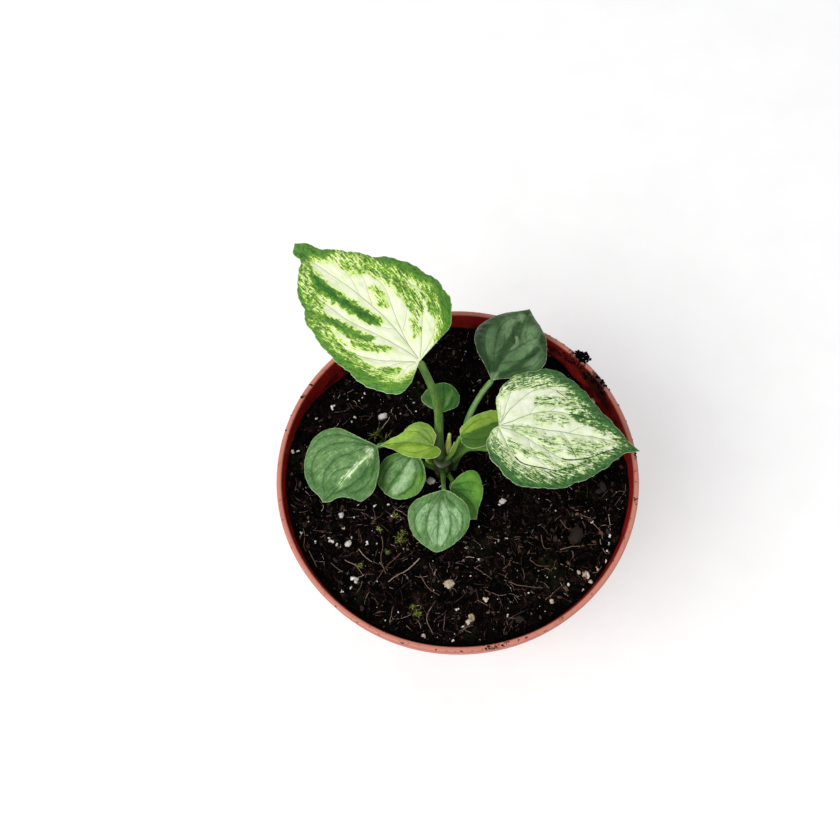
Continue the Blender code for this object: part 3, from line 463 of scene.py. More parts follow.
            (0.26, (0.4, -0.5), (3, -2.6), (6.3, -6.2), (10, -8.1), (13.5, -7.6), (16.6, -5.2)),
            (0.16, (6.9, -0.8), (9.2, 0.6), (11.5, 1.6)),
            (0.16, (11.3, -0.4), (13.2, -1.6), (15.2, -2)),
            (0.16, (6.6, 2.3), (8, 4.4), (9.8, 5.6)),
            (0.16, (7.2, -3.3), (8.4, -5.2), (10.2, -6.2)),
        ),
        strokes=(
            (0.22, 1, 1.2, (5, 0.8), (9, 1.6), (13, 1.6), (17, 0.9)),
            (0.3, 1, 1.2, (6, -2), (10, -2.4), (14, -2), (17, -1)),
            (0.34, 1.1, 1.2, (6, 4.6), (9, 5.4), (13, 5.2)),
            (0.36, 1.1, 1.2, (6, -5), (9, -6.2), (13, -6)),
            (0.75, 0.8, 1, (0.5, 0), (2.6, 0)),
        ),
        ground=0.66,
        tones=((0, (196, 224, 186)), (0.3, (142, 184, 128)), (0.55, (104, 148, 86)), (0.8, (74, 120, 52)),
               (1, (46, 94, 34))),
        stalk_tone=(84, 126, 52), vein_tone=(48, 90, 42), vein_mix=0.66, quilt=0.7, puff=1.7, grain=0.85,
    ),
    "leaf_j": Leaf(
        base=(-2.6, -7.4, 100), heading=-51.4, pitch=-17.4, length=13.5,
        left=((-0.7, 1.3), (-1, 5.5), (0.5, 9.2), (4, 9.5), (8, 7.3), (11.6, 2.2)),
        right=((1.3, -1.6), (4, -4.3), (8, -4.8), (11.5, -2.4)),
        stalk=((-2.5, -0.7, 92.2), (-1.8, -3.8, 95.6), (-2.2, -6, 98), (-2.5, -7.2, 98.8)),
        stalk_radii=(0.8, 0.65), rows=66, columns=24, keel=0.15, dome=0.8, droop=1.0, wave=0.2,
        veins=(
            (0.22, (0.2, 0), (3, 1), (6.5, 1.8), (10, 1.8), (13.2, 0.2)),
            (0.18, (0, 0.4), (1.3, 3.5), (3, 6.3), (4.6, 7.8)),
            (0.18, (1.6, 0.4), (4, 3.4), (6.4, 5.4)),
            (0.16, (1, -0.4), (4, -1.6), (8, -1.8)),
        ),
        strokes=((0.25, 1, 1.8, (2, 7), (5, 7), (8, 5.4)), (0.9, 1.2, 1.6, (1, 1), (3, 2))),
        ground=0.6,
        tones=((0, (128, 182, 74)), (0.45, (100, 158, 54)), (0.75, (80, 138, 46)), (1, (58, 108, 40))),
        stalk_tone=(90, 138, 54), vein_tone=(52, 104, 32), vein_mix=0.7, quilt=0.35, grain=0.8,
    ),
}

# The leaf that is still rolled up: its route
SHOOT = ((-2.6, 4.9, 98.6), (-2.5, 5.8, 102), (-2.3, 7.0, 105), (-2.0, 7.9, 108.3))

# Sheaths: remains of old leaf bases on the stump, and the pale one that the rolled leaf comes out of. Each is
# name, path, widths along it, direction of its width, colour and slot
SHEATHS = (
    ("old_sheath", ((-7.7, 2.2, 90.5), (-7.75, 2.3, 94), (-7.4, 2.6, 98.4)), (2.6, 2.2, 0.9),
     (0.35, -1, 0), (78, 62, 38), "stem_and_roots"),
    ("stump_sheath", ((-3.4, -0.5, 91.0), (-3.3, -0.5, 95.0), (-3.2, -0.1, 98.2)), (2.4, 2.4, 1.0),
     (1, 0.15, 0), (56, 66, 34), "stem_and_roots"),
    ("shoot_sheath", ((-1.7, 4.3, 98.8), (-1.1, 4.9, 102.0), (-0.5, 5.9, 105.2)), (2.4, 2.2, 0.6),
     (0.5, 1, 0), (206, 210, 158), "new_shoot"),
)

# Loose pieces that stand in the places of solids: size, compass in degrees, tone
PERLITE = {
    "perlite_1": ((3.6, 2.2, 1.7), 25.0, 0.6),
    "perlite_2": ((2.8, 2.4, 1.8), 0.0, 0.6),
    "perlite_3": ((2.4, 2.0, 1.6), 40.0, 0.6),
    "perlite_4": ((2.2, 1.9, 1.6), 0.0, 0.6),
    "perlite_5": ((2.0, 1.7, 1.4), 70.0, 0.6),
}
BARK_CHIPS = {
    "bark_chip_1": ((5.6, 4.2, 1.2), 60.0, 0.22),
    "bark_chip_2": ((3.6, 2.8, 1.2), 20.0, 0.85),
    "bark_chip_3": ((3.0, 2.0, 1.1), 80.0, 0.8),
    "bark_chip_4": ((3.2, 1.9, 1.1), -15.0, 0.9),
}

# White grains in the photograph: pixel, and size across
GRAINS = (
    (332.7, 541.3, 1.9), (353.7, 578.6, 2.0), (355.7, 582.7, 1.4), (351, 588, 1.2), (342, 591.5, 1.1),
    (367, 543.6, 1.3), (351, 538, 1.0), (389.5, 505, 1.3), (375, 506, 1.1), (358.5, 505, 0.9),
    (354.5, 517, 0.8), (392.4, 517, 1.5), (456.8, 610.3, 1.2), (463, 627, 1.0), (452.7, 640.6, 1.1),
    (507.7, 615, 0.9), (528, 593, 1.0), (568.4, 583.7, 1.4), (500.5, 504, 1.6), (498.7, 540.3, 0.9),
    (506.8, 538, 1.0), (465.8, 548.5, 0.9), (478.8, 560, 0.8), (609.8, 535.2, 1.3), (608.6, 543, 0.9),
    (607.2, 551, 1.0), (606, 562, 1.0), (591.9, 522.4, 1.0), (320, 390.3, 1.1), (333.4, 406.6, 1.4),
    (332.2, 409.2, 1.1), (316.8, 419.2, 1.0), (293.6, 451, 1.6), (297.7, 451.5, 1.1), (364.3, 393.9, 1.1),
    (355.2, 418, 1.3), (351.6, 422, 1.0), (414.5, 402.9, 1.0), (415.6, 411.7, 0.9), (566, 364, 1.4),
    (581.4, 367, 1.2), (579.5, 372.7, 1.4), (315.3, 541.7, 1.0), (301.7, 533, 0.9), (312, 527.5, 1.0),
    (441, 486.5, 1.3), (399, 489, 0.9), (342, 547, 1.2), (337, 545, 1.0), (329, 538, 1.0), (583, 590, 1.1),
    (480, 382, 1.4), (474, 391, 1.0), (479, 527, 0.7), (433, 561, 0.6), (545, 612, 0.7), (398, 612, 0.7),
)
# Pebbles and pale chips: pixel, and size
PEBBLES = (
    (586, 575.7, 3.0), (579, 572, 1.9), (590, 582, 1.7), (593.5, 400.8, 2.2), (449, 585, 2.6),
    (470, 621, 2.4),
    (383.4, 417.9, 1.8), (597, 569, 1.4), (344, 528, 1.6), (486, 600, 1.8), (424, 636, 1.6), (552, 602, 1.8),
)
# Dark flakes of bark: pixel
DARK_FLAKES = ((603, 487), (600, 491), (572, 540), (578, 533), (348, 470), (520, 620), (470, 590))
# Threads of root and twig in the photograph: shade from dark to pale, thickness, then pixels along it
THREADS = (
    (0.7, 0.26, (358.5, 549), (364, 556), (372, 562)),
    (0.75, 0.3, (419.4, 558.5), (408, 570), (400, 574), (392, 579), (388.4, 582)),
    (0.35, 0.34, (401, 553), (393, 561), (385, 569), (373.5, 585)),
    (0.6, 0.26, (431.6, 607), (428, 614), (427, 621), (433, 634)),
    (0.5, 0.22, (541, 535), (542, 542), (544, 548), (550, 549)),
    (0.55, 0.24, (560, 550), (571, 547), (584, 545.6)),
    (0.45, 0.22, (474, 567), (484, 574), (492, 579)),
    (0.5, 0.24, (504, 580), (516, 585), (528, 587), (543, 588)),
    (0.15, 0.3, (359, 417), (367, 417), (375, 416)),
    (0.4, 0.22, (633.6, 483.8), (625, 492), (614.4, 506.2)),
    (0.4, 0.2, (625, 492), (618, 492), (612, 497)),
    (0.55, 0.2, (592, 573.4), (600, 572), (607, 569.7)),
    (0.6, 0.2, (592, 522), (597, 528), (601.6, 534), (602.7, 539)),
    (0.6, 0.2, (571.7, 551), (573, 555), (572.8, 558.5)),
    (0.4, 0.24, (290.4, 504.8), (294, 507), (297.2, 508.8)),
    (0.45, 0.22, (303.4, 528.6), (305, 536.6), (304, 545), (302.3, 553.6)),
    (0.5, 0.24, (308.5, 550), (313, 559), (317, 567)),
    (0.55, 0.2, (380, 530), (383, 545), (381, 560), (386, 574)),
    (0.5, 0.2, (331, 563), (342, 572), (350, 574)),
    (0.65, 0.22, (345, 560), (356, 566), (363, 575)),
    (0.55, 0.2, (420, 575), (428, 588), (440, 596)),
    (0.5, 0.2, (485, 590), (500, 596), (512, 594), (520, 600)),
    (0.45, 0.18, (530, 560), (538, 566), (550, 566)),
    (0.5, 0.2, (560, 520), (566, 528), (575, 530)),
)
# Moss: pixel, spread, and how tall its blades stand
MOSS = ((401, 539, 2.2, 1.0), (403, 534, 1.2, 1.2), (417, 614, 1.6, 1.0), (413, 607, 1.0, 1.0),
        (360, 566, 1.0, 0.8),
        (374, 437, 0.9, 3.4), (384, 440, 0.7, 3.0), (378, 432, 0.7, 2.6), (379, 529, 1.0, 1.0),
        (395, 516, 0.9, 1.0),
        (388, 552, 1.0, 0.9))
# Dirt on the rim: pixel, and size
RIM_DIRT = (
    (461, 652, 1.0), (309, 386, 1.6), (302, 398, 1.3), (636, 454, 1.4), (637, 457, 1.0), (635, 471, 0.8),
    (635, 500, 1.2), (635.5, 503, 0.8), (484, 648, 1.4), (489, 647, 1.1), (494, 646, 1.2), (503, 646, 1.2),
    (508, 643, 1.1), (526, 637, 1.1), (519, 641, 0.8), (436, 650, 0.7), (598, 377, 1.5), (603, 381, 1.9),
    (607, 386, 1.6), (611, 388, 1.2), (601, 384, 1.3), (606, 380, 1.2), (355, 340, 0.8), (612, 560, 0.7),
    (447, 651, 0.5), (455, 652, 0.4), (472, 651, 0.5), (402, 645, 0.6), (378, 636, 0.5), (355, 626, 0.6),
    (545, 631, 0.7), (560, 620, 0.5), (592, 594, 0.6), (624, 538, 0.6), (630, 519, 0.5), (636, 482, 0.6),
    (280, 500, 0.5), (281, 440, 0.6), (290, 415, 0.7), (283, 520, 0.5), (291, 548, 0.4), (634, 440, 0.6),
    (628, 420, 0.7), (621, 404, 0.8), (566, 341, 0.9), (559, 336, 0.8), (552, 333, 0.6), (480, 313, 0.5),
    (286, 430, 0.8), (330, 612, 0.7),
)
# Mix that hangs over the rim in one clump: pixel, height and size
CLUMP = (
    (580.0, 350.0, 95.5, 1.2), (583.0, 351.0, 95.8, 1.7), (586.0, 352.5, 95.9, 1.8),
    (589.0, 355.0, 95.6, 1.5),
    (586.0, 355.5, 95.6, 1.6), (582.0, 354.0, 95.5, 1.4), (591.0, 357.5, 95.3, 1.0),
    (576.0, 350.5, 95.2, 0.7),
)
# Mix stuck to the inner wall and lip: compass, height, size, crumbs
WALL_DIRT = (
    (31.5, 94.6, 1.5, 7), (30.0, 93.6, 1.8, 9), (28.4, 94.6, 1.5, 7), (33.5, 92.4, 1.7, 8),
    (36.0, 91.0, 1.6, 8),
    (27.0, 92.6, 1.4, 8), (38.5, 92.6, 1.3, 7), (42.0, 91.4, 1.4, 7), (46.0, 91.8, 1.1, 6),
    (52.0, 90.4, 1.1, 6),
    (21.0, 90.2, 1.0, 5), (60.0, 89.2, 1.0, 5), (124.0, 88.2, 1.0, 5), (140.0, 87.4, 1.1, 6),
    (152.0, 88.4, 0.9, 5),
)
# Brown smears on the wall and lip: compass, its spread, height, its spread, strength
SMEARS = (
    (30.0, 2.6, 94.0, 2.6, 1.3), (33.0, 5.0, 91.5, 3.0, 1.5), (42.5, 5.0, 94.6, 1.6, 0.8),
    (25.0, 4.0, 91.0, 3.0, 1.1),
    (48.0, 9.0, 91.0, 2.4, 0.9), (16.0, 5.0, 89.5, 2.4, 0.7), (14.0, 5.0, 93.0, 1.6, 0.45),
    (133.0, 16.0, 87.0, 3.0, 0.8), (-82.0, 7.0, 94.8, 0.7, 0.6),
    (-60.0, 6.0, 94.8, 0.7, 0.5), (-112.0, 8.0, 94.8, 0.7, 0.4), (165.0, 6.0, 94.8, 0.8, 0.4),
    (148.0, 3.0, 94.8, 1.0, 0.6),
    (0.0, 5.0, 94.8, 0.8, 0.45),
)

# Ramps of (tone, colour) for the small things on the mix
CRUMB_TONES = ((0.0, (1, 1, 1)), (0.4, (6, 4, 4)), (0.7, (20, 13, 10)), (0.88, (68, 48, 40)),
               (1.0, (144, 120, 104)))
BARK_TONES = ((0.0, (8, 5, 4)), (0.35, (36, 23, 18)), (0.6, (88, 64, 50)), (0.8, (168, 148, 122)),
              (1.0, (212, 198, 174)))
STONE_TONES = ((0.0, (96, 84, 76)), (0.4, (168, 160, 152)), (0.7, (214, 210, 206)), (1.0, (246, 245, 243)))
THREAD_TONES = ((0.0, (30, 16, 14)), (0.3, (78, 48, 42)), (0.55, (124, 98, 88)), (0.8, (176, 156, 144)),
                (1.0, (208, 194, 182)))
MOSS_TONES = ((0.0, (40, 46, 18)), (0.5, (104, 114, 42)), (1.0, (186, 190, 112)))


# Curves and distances


def smooth_path(points, count):
    """count points at even steps along a smooth curve through the given ones."""
    given = np.array(points, float)
    ends = np.vstack([2 * given[0] - given[1], given, 2 * given[-1] - given[-2]])
    steps = np.linspace(0, 1, 17)[:, None]
    runs = []
    for before, start, end, after in zip(ends, ends[1:], ends[2:], ends[3:]):
        runs.append(
            0.5 * (2 * start + (end - before) * steps
                   + (2 * before - 5 * start + 4 * end - after) * steps**2
                   + (3 * start - before - 3 * end + after) * steps**3)
        )
    dense = np.vstack(runs)
    travelled = np.concatenate([[0], np.cumsum(np.linalg.norm(np.diff(dense, axis=0), axis=1))])
    even = np.linspace(0, travelled[-1], count)
    return np.stack([np.interp(even, travelled, dense[:, axis]) for axis in range(dense.shape[1])], 1)


def near_line(places, line):
    """Distance of each place from a line of points, the share of its length there, and on which side."""
    best = np.full(len(places), FAR)
    share, side = np.zeros((2, len(places)))
    lengths = np.linalg.norm(np.diff(line, axis=0), axis=1)
    before = np.concatenate([[0], np.cumsum(lengths)])
    for start, end, length, done in zip(line, line[1:], lengths, before):
        way = (end - start) / max(length, 1e-9)
        off = places - start
        along = np.clip(off @ way, 0, length)
        away = np.linalg.norm(places - (start + along[:, None] * way), axis=1)
        closer = away < best
        best[closer] = away[closer]
        share[closer] = (done + along[closer]) / before[-1]
        side[closer] = np.sign(way[0] * off[closer, 1] - way[1] * off[closer, 0])
    return best, share, side


def beside_line(places, line, width):
    """Signed distance from a line that tapers, in half widths, and far away past the line's ends."""
    away, along, side = near_line(places, line)
    taper = (1 - 0.6 * along) * ease(along / 0.02) * ease((1 - along) / 0.03) + 1e-3
    return np.clip(side * away / (0.5 * width * taper), -BESIDE_LIMIT, BESIDE_LIMIT)


def in_threes(name, columns):
    """Columns of numbers as vectors of three, filled up with a number far from any line."""
    spare = [np.full(len(columns[0]), BESIDE_LIMIT)] * (-len(columns) % 3) if columns else []
    columns = columns + spare
    return {f"{name}_{at // 3}": np.stack(columns[at:at + 3], 1) for at in range(0, len(columns), 3)}


def depth_inside(places, outline):
    """Distance from an outline, counted positive inside it."""
    closed = np.vstack([outline, outline[:1]])
    away = near_line(places, closed)[0]
    inside = np.zeros(len(places), bool)
    for (ax, ay), (bx, by) in zip(closed, closed[1:]):
        crosses = (ay > places[:, 1]) != (by > places[:, 1])
        at = ax + (places[:, 1] - ay) * (bx - ax) / (by - ay if by != ay else 1e-9)
        inside ^= crosses & (places[:, 0] < at)
    return np.where(inside, away, -away)


def ease(x):
    """0 to 1, slow at both ends."""
    x = np.clip(x, 0, 1)
    return x * x * (3 - 2 * x)


def bell(x):
    """1 at nought, falling away on both sides."""
    return np.exp(-(x**2))


def polar(out, compass):
    """Place (x, y) at a distance from the pot's axis."""
    return out * math.cos(compass), out * math.sin(compass)


def from_stem(x, y):
    return math.hypot(x - STEM_X, y - STEM_Y)


# Materials


def linear(colour):
    """A colour as a shader's linear one."""
    shares = [value / 255 for value in colour]
    return tuple(s / 12.92 if s <= 0.04045 else ((s + 0.055) / 1.055) ** 2.4 for s in shares) + (1.0,)


class Wire:
    """A number, vector or colour in a material's nodes. Arithmetic on numbers adds nodes."""

    def __init__(self, shader, socket):
        self.shader = shader
        self.socket = socket

    def __add__(self, other):
        return self.shader.math("ADD", self, other)

    def __sub__(self, other):
        return self.shader.math("SUBTRACT", self, other)

    def __rsub__(self, other):
        return self.shader.math("SUBTRACT", other, self)

    def __mul__(self, other):
        return self.shader.math("MULTIPLY", self, other)


class Shader:
    """A Principled material, and short ways to add nodes to it."""

    def __init__(self, name, rough, specular=0.5):
        self.material = bpy.data.materials.new(name)
        self.material.use_nodes = True
        self.tree = self.material.node_tree
        self.surface = self.tree.nodes["Principled BSDF"]
        self.surface.inputs["Roughness"].default_value = rough
        self.surface.inputs["Specular IOR Level"].default_value = specular

    def plug(self, value, socket):
        """Links a wire to a socket, or sets the socket to a plain value."""
        if isinstance(value, Wire):
            self.tree.links.new(value.socket, socket)
        else:
            socket.default_value = value

    def add(self, kind, output=0, settings=None, **inputs):
        """A new node's output. Each input is named by its socket, or by _ and the socket's number."""
        made = self.tree.nodes.new(kind)
        for name, value in (settings or {}).items():
            setattr(made, name, value)
        for name, value in inputs.items():
            self.plug(value, made.inputs[int(name[1:]) if name[0] == "_" else name.replace("_", " ")])
        return Wire(self, made.outputs[output])

    def value(self, name):
        return self.add("ShaderNodeAttribute", "Fac", {"attribute_name": name})

    def vector(self, name):
        return self.add("ShaderNodeAttribute", "Vector", {"attribute_name": name})

    def place(self):
        return self.add("ShaderNodeTexCoord", "Object")

    def height(self):
        """Height in millimetres."""
        return self.add("ShaderNodeSeparateXYZ", "Z", _0=self.place()) * (1 / MM)

    def math(self, operation, a, b=0.0):
        return self.add("ShaderNodeMath", 0, {"operation": operation}, _0=a, _1=b)

    def vectors(self, operation, a, b=(0, 0, 0), output="Vector"):
        return self.add("ShaderNodeVectorMath", output, {"operation": operation}, _0=a, _1=b)

    def noise(self, where, scale, detail=4.0, rough=0.6):
        return self.add("ShaderNodeTexNoise", Vector=where, Scale=scale, Detail=detail, Roughness=rough)

    def streaks(self, where, scale, detail, rough):
        """Noise drawn out along an axis, with a scale for each."""
        return self.noise(self.add("ShaderNodeMapping", Vector=where, Scale=scale), 1.0, detail, rough)

    def cells(self, where, scale, feature="F1"):
        return self.add("ShaderNodeTexVoronoi", "Distance", {"feature": feature}, Vector=where, Scale=scale)

    def range(self, value, low, high, to_low=0.0, to_high=1.0):
        return self.add("ShaderNodeMapRange", "Result", {"interpolation_type": "SMOOTHSTEP"},
                        Value=value, From_Min=low, From_Max=high, To_Min=to_low, To_Max=to_high)

    def ramp(self, value, stops):
        """A colour that goes with a number, by stops of number and colour."""
        made = self.tree.nodes.new("ShaderNodeValToRGB")
        self.plug(value, made.inputs["Fac"])
        elements = made.color_ramp.elements
        while len(elements) < len(stops):
            elements.new(1.0)
        for element, stop in zip(elements, stops):
            element.position = stop[0]
        for element, stop in zip(elements, stops):
            element.color = linear(stop[1])
        return Wire(self, made.outputs["Color"])

    def mix(self, share, a, b, blend="MIX"):
        """Colour b over colour a."""
        a, b = (colour if isinstance(colour, Wire) else linear(colour) for colour in (a, b))
        return self.add("ShaderNodeMix", 2, {"data_type": "RGBA", "blend_type": blend}, _0=share, _6=a, _7=b)

    def nearest_line(self, name, count):
        """The least of count signed distances, kept three to an attribute."""
        for index in range(math.ceil(count / 3)):
            there = self.vectors("ABSOLUTE", self.vector(f"{name}_{index}"))
            nearest = self.vectors("MINIMUM", nearest, there) if index else there
        parts = self.tree.nodes.new("ShaderNodeSeparateXYZ")
        self.plug(nearest, parts.inputs[0])
        x, y, z = (Wire(self, part) for part in parts.outputs)
        return self.math("MINIMUM", self.math("MINIMUM", x, y), z)

    def shine_through(self, colour, share):
        """Lets light through something thin."""
        glow = self.add("ShaderNodeBsdfTranslucent", Color=colour)
        both = self.add("ShaderNodeMixShader", _0=share, _1=Wire(self, self.surface.outputs[0]), _2=glow)
        self.plug(both, self.tree.nodes["Material Output"].inputs["Surface"])

    def finish(self, colour, rough, height, depth, strength):
        """The material with its colour, its roughness and a bump as deep as depth, in millimetres."""
        bump = self.add("ShaderNodeBump", "Normal", Height=height, Distance=depth * MM, Strength=strength)
        for name, value in (("Base Color", colour), ("Roughness", rough), ("Normal", bump)):
            self.plug(value, self.surface.inputs[name])
        return self.material


# Meshes


def keep_values(mesh, values):
    """Keeps a number or a vector at each point of a mesh, for its material."""
    for name, numbers in values.items():
        numbers = np.asarray(numbers, np.float32)
        kind, key = ("FLOAT", "value") if numbers.ndim == 1 else ("FLOAT_VECTOR", "vector")
        mesh.attributes.new(name, kind, "POINT").data.foreach_set(key, numbers.ravel())


def mesh_object(name, points, faces, finish, values=None, smooth=True, weld=True):
    """An object in metres from points in millimetres. values holds numbers kept at each point."""
    mesh = bpy.data.meshes.new(name)
    mesh.from_pydata([tuple(p) for p in np.asarray(points) * MM], [], faces)
    keep_values(mesh, values or {})
    if weld:
        shape = bmesh.new()
        shape.from_mesh(mesh)
        bmesh.ops.remove_doubles(shape, verts=shape.verts, dist=1e-6)
        bmesh.ops.recalc_face_normals(shape, faces=shape.faces)
        if shape.calc_volume(signed=True) < 0:
            bmesh.ops.reverse_faces(shape, faces=shape.faces)
        shape.to_mesh(mesh)
        shape.free()
    if smooth:
        mesh.shade_smooth()
    mesh.materials.append(finish)
    made = bpy.data.objects.new(name, mesh)
    bpy.context.scene.collection.objects.link(made)
    return made


def dress(piece, slot, *nodes):
    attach(piece, "root")
    if nodes:
        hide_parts(*nodes)


def revolve(profiles, centre=(0.0, 0.0)):
    """Points and faces of a closed form, from a profile of (radius, height) at each even compass."""
    points, faces = [], []
    sides, count = len(profiles), len(profiles[0])
    for side, profile in enumerate(profiles):
        for radius, height in profile:
            x, y = polar(radius, math.tau * side / sides)
            points.append((centre[0] + x, centre[1] + y, height))
        here, there = side * count, (side + 1) % sides * count
        for index in range(count - 1):
            ring = (here + index, there + index, there + index + 1, here + index + 1)
            if profile[index][0] < 1e-6:
                ring = (ring[0], ring[2], ring[3])
            elif profile[index + 1][0] < 1e-6:
                ring = ring[:3]
            faces.append(ring)
    return points, faces


def turned(name, profile, sides, finish, centre=(0.0, 0.0), bend=lambda compass, height: 0.0):
    """A turned solid. bend moves each point a little, by its compass and height."""
    profiles = []
    for compass in math.tau * np.arange(sides) / sides:
        moved = [radius + bend(compass, height) if radius > 1 else radius for radius, height in profile]
        profiles.append([(radius, height) for radius, (_, height) in zip(moved, profile)])
    return mesh_object(name, *revolve(profiles, centre), finish)


def tube(path, radii, sides):
    """Points and faces of a closed tube along a path, with a radius at each point, or one for each side."""
    path = np.asarray(path, float)
    ahead = np.gradient(path, axis=0)
    ahead /= np.linalg.norm(ahead, axis=1)[:, None] + 1e-12
    side_way = np.cross(ahead, (0.12, 0.05, 1.0))
    side_way /= np.linalg.norm(side_way, axis=1)[:, None] + 1e-12
    over = np.cross(side_way, ahead)
    angle = np.linspace(0, math.tau, sides, endpoint=False)
    if radii.ndim == 1:
        radii = np.repeat(radii[:, None], sides, 1)
    points = path[:, None, :] + radii[:, :, None] * (
        np.cos(angle)[None, :, None] * side_way[:, None, :] + np.sin(angle)[None, :, None] * over[:, None, :])
    faces = []
    for here in range(0, (len(path) - 1) * sides, sides):
        for side in range(sides):
            nearby = (side + 1) % sides
            faces.append((here + side, here + sides + side, here + sides + nearby, here + nearby))
    faces.append(tuple(range(sides)))
    faces.append(tuple(range(len(path) * sides - 1, (len(path) - 1) * sides - 1, -1)))
    return points.reshape(-1, 3), faces


def join(parts):
    """One list of points, faces and tones from many."""
    points, faces, tones = [], [], []
    for part_points, part_faces, tone in parts:
        faces += [tuple(i + len(points) for i in face) for face in part_faces]
        points += list(part_points)
        tones += [tone] * len(part_points)
    return points, faces, tones


def grid_quads(rows, columns, first=0):
    """Corners of each quad in a grid of points kept row by row."""
    for row in range(rows):
        for column in range(columns):
            a = first + row * (columns + 1) + column
            yield a, a + 1, a + columns + 2, a + columns + 1


# Camera and what its pixels look at


def camera_axes():
    tilt, roll = math.radians(CAMERA_ELEVATION), math.radians(CAMERA_ROLL)
    back = Vector((0, -math.cos(tilt), math.sin(tilt)))
    level = Vector((1, 0, 0))
    over = back.cross(level)
    right = level * math.cos(roll) + over * math.sin(roll)
    up = over * math.cos(roll) - level * math.sin(roll)
    return Vector(CAMERA_AIM) + back * CAMERA_DISTANCE, right, up, back


def add_camera():
    eye, right, up, back = camera_axes()
    lens = bpy.data.cameras.new("camera")
    lens.sensor_width = SENSOR
    lens.lens = SENSOR * FOCAL_PIXELS / FRAME_PIXELS
    lens.clip_start = 0.01
    camera = bpy.data.objects.new("camera", lens)
    turn = Matrix((right, up, back)).transposed().to_4x4()
    camera.matrix_world = Matrix.Translation(eye * MM) @ turn
    bpy.context.scene.collection.objects.link(camera)
    bpy.context.scene.camera = camera


def seen_at(pixel, height):
    """Place (x, y) that a pixel of the photograph shows at a height."""
    eye, right, up, back = camera_axes()
    half = FRAME_PIXELS / 2
    ray = right * (pixel[0] - half) - up * (pixel[1] - half) - back * FOCAL_PIXELS
    place = eye + ray * ((height - eye.z) / ray.z)
    return place.x, place.y


def seen_on_mix(pixel):
    """Place (x, y, z) where a pixel of the photograph meets the mix."""
    height = SOIL_LEVEL
    for _ in range(6):
        x, y = seen_at(pixel, height)
        height = crumbly_height(x, y)
    return x, y, height


# Pot


def inner_radius(height):
    at_rim = RIM_RADIUS - LIP_WIDTH
    at_floor = BASE_RADIUS - WALL
    return at_floor + (at_rim - at_floor) * (height - FLOOR) / (POT_HEIGHT - FLOOR)


def pot_finish():
    """Orange plastic, painted paler on the lip's top as wear and a painted highlight, painted dark red inside
    as painted shade, and dirty in places.
    """
    s = Shader("orange_plastic_finish", 0.42, 0.3)
    where, height, inside = s.place(), s.height(), s.value("inside")
    cloud = s.noise(where, 55, 5, 0.65)
    streaks = s.streaks(where, (420, 420, 60), 4, 0.6)
    orange = s.ramp(cloud, ((0.3, (166, 72, 54)), (0.5, (180, 82, 64)), (0.72, (190, 98, 78))))
    # painted shade: the inner wall is the same plastic, painted dark red for the shade inside the pot
    painted_shade_red = s.ramp(cloud, ((0.3, (118, 18, 16)), (0.5, (140, 24, 20)), (0.72, (160, 34, 26))))
    colour = s.mix(inside, orange, painted_shade_red)
    # the top of the lip painted paler: partly wear and dust, partly a painted highlight where it faces the
    # light
    paler_lip_top = s.range(height, 94.3, 94.85) * s.range(cloud, 0.25, 0.5, 0.7, 1.0)
    colour = s.mix(paler_lip_top, colour, (192, 122, 106))
    colour = s.mix(s.range(streaks, 0.55, 0.75, 0, 0.35), colour, (150, 52, 36))
    grime = s.range(s.noise(where, 900, 3, 0.7), 0.62, 0.72) * s.range(s.noise(where, 90, 3), 0.48, 0.66)
    colour = s.mix(grime * 0.75, colour, (84, 44, 34))
    dirt = s.value("dirt") + (s.noise(where, 620, 5, 0.7) - 0.5) * 2.6
    colour = s.mix(s.range(dirt, 0.52, 0.8, 0, 0.9), colour, (40, 20, 15))
    # darker in patches on the inner wall, more so lower down towards the mix
    darker_patches_inside = inside * s.range(s.noise(where, 260, 4), 0.42, 0.62, 0.0, 0.85)
    below_rim = 1.0 - s.range(height, 86, 94.2, 0, 0.9)
    colour = s.mix(darker_patches_inside * below_rim, colour, (46, 12, 10))
    grain = s.noise(where, 2600, 2) + streaks * 0.8
    return s.finish(colour, s.range(cloud, 0.3, 0.7, 0.36, 0.55), grain, 0.05, 0.5)


def pot_profile():
    """Half the pot's section, from the middle of its underside round to the middle of its floor."""
    outer = WALL / math.cos(math.atan((RIM_RADIUS - BASE_RADIUS) / POT_HEIGHT))
    band_foot = POT_HEIGHT - BAND_HEIGHT
    foot_inner = BASE_RADIUS - FOOT_WIDTH
    underside = [
        (0, 0), (PAD_RADIUS, 0), (PAD_RADIUS + 1, DRAIN_RECESS), (foot_inner - 1, DRAIN_RECESS),
        (foot_inner, 0), (BASE_RADIUS - 0.8, 0), (BASE_RADIUS - 0.2, 0.3), (inner_radius(FLOOR) + outer, 1.0),
    ]
    wall = [(inner_radius(band_foot * share) + outer, band_foot * share) for share in (0.25, 0.5, 0.75)]
    under_band = [
        (inner_radius(band_foot) + outer, band_foot - 0.1),
        (inner_radius(band_foot) + outer + 0.25, band_foot + 0.15),
    ]
    band = [(0.95, BAND_HEIGHT - 0.5), (0.7, BAND_HEIGHT - 0.9), (0.6, BAND_HEIGHT - 1.6), (0.3, 4)]
    lip = [(0.05, 1.4), (0, 0.9), (0.1, 0.4), (0.32, 0.12), (0.65, 0), (LIP_WIDTH - 0.55, 0),
           (LIP_WIDTH - 0.2, 0.12)]
    rim = [(RIM_RADIUS - inwards, POT_HEIGHT - drop) for inwards, drop in band + lip]
    within = [POT_HEIGHT - drop for drop in (0.5, 1.2, 2, 3, 4, 5, 6.5, 8, 10, 12)] + [50, FLOOR]
    inner_wall = [(inner_radius(height), height) for height in within]
    return underside + wall + under_band + rim + inner_wall + [(0, FLOOR)]


